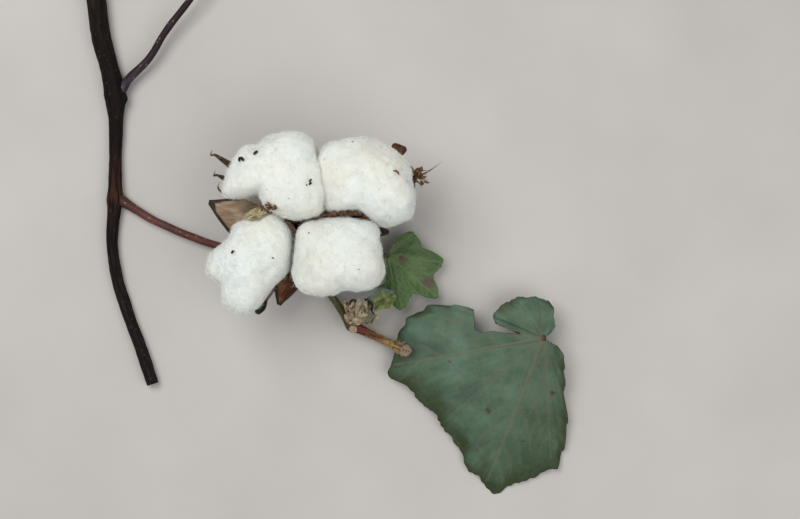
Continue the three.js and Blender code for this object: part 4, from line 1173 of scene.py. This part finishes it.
# Mature leaf: blue-grey green with a waxy bloom, olive towards its edge, with tan-olive veins, brown spots.
large_field = [(0.34, "#3d5341"), (0.5, "#4a634e"), (0.66, "#58725f")]
# Its dark olive band colour also paints the shade over the blade's lower sector.
large_skin = leaf_skin(
    "mature_leaf_blade", large_field, rim="#2b3a1c", vein="#66634e", spot="#453630", roughness=0.65, net=2.6
)
large_plan = (LARGE_LEAF_JOIN, LARGE_OUTLINE, LARGE_VEINS, LARGE_CLEFT, LARGE_SPOTS)
large = blade(*large_plan, columns=520, rows=90, fold=0.8, seed=231)
piece("large_leaf_blade", large, [large_skin], "leaf", "large_leaf")
# Young leaf: a fresher, brighter green with a little more gloss.
small_field = [(0.34, "#2f4623"), (0.5, "#3e592e"), (0.66, "#526d3d")]
small_skin = leaf_skin(
    "young_leaf_blade", small_field, rim="#4c6a34", vein="#71814d", spot="#544735", roughness=0.5, net=2.0
)
small_plan = (SMALL_LEAF_JOIN, SMALL_OUTLINE, SMALL_VEINS, [], SMALL_SPOTS)
small = blade(*small_plan, columns=220, rows=50, fold=0.5, seed=251)
piece("small_leaf_blade", small, [small_skin], "bright_leaf", "small_leaf")


# Floor, light and camera. A plain pale surface that the branch lies on, the even light of a bright overcast
# sky, and a camera that looks straight down from half a metre.
FLOOR_SIZE, SENSOR, SHARE_PER_PIXEL, FRAME_WIDTH = 6000, 36, 0.00081, 800
# Matt painted board: warm pale grey, very slightly clouded.
matt_floor, tree, shader = finish("matt_pale_floor", 0.9)
floor_stops = [(0.3, "#beb9b3"), (0.7, "#c5c0ba")]
floor_tint = add(tree, "ValToRGB", {"stops": floor_stops}, {"Fac": clouds(tree, 60, 4.0)})
tree.links.new(floor_tint, shader.inputs["Base Color"])
half = FLOOR_SIZE / 2 * MM
floor_mesh = bpy.data.meshes.new("floor")
corners = [(-half, -half, 0), (half, -half, 0), (half, half, 0), (-half, half, 0)]
floor_mesh.from_pydata(corners, [], [(0, 1, 2, 3)])
floor_mesh.materials.append(matt_floor)
floor = bpy.data.objects.new("floor", floor_mesh)
bpy.context.scene.collection.objects.link(floor)
floor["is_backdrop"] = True

sky = bpy.data.worlds.new("overcast_sky")
sky.use_nodes = True
sky.node_tree.nodes["Background"].inputs["Color"].default_value = linear("#e6ebf2")
sky.node_tree.nodes["Background"].inputs["Strength"].default_value = 0.36
bpy.context.scene.world = sky
bpy.context.scene.view_settings.view_transform = "Standard"
for name, place, size, power in [("key", (-260, 230, 700), 500, 3.8), ("fill", (360, -260, 600), 600, 2.2)]:
    lamp = bpy.data.lights.new(name, "AREA")
    lamp.size, lamp.energy = size * MM, power
    holder = bpy.data.objects.new(name, lamp)
    holder.location = (np.array(place) * MM).tolist()
    holder.rotation_euler = (-holder.location).to_track_quat("-Z", "Y").to_euler()
    bpy.context.scene.collection.objects.link(holder)

lens = bpy.data.cameras.new("camera")
lens.sensor_width = SENSOR
lens.lens = SENSOR / (FRAME_WIDTH * SHARE_PER_PIXEL)
camera = bpy.data.objects.new("camera", lens)
camera.location = ((CAMERA_AT + BOLL_AXIS) * MM).tolist()
bpy.context.scene.collection.objects.link(camera)
bpy.context.scene.camera = camera

sizes = {"cad": [list(corner) for corner in cad_box], "visual": [list(corner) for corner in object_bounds()]}
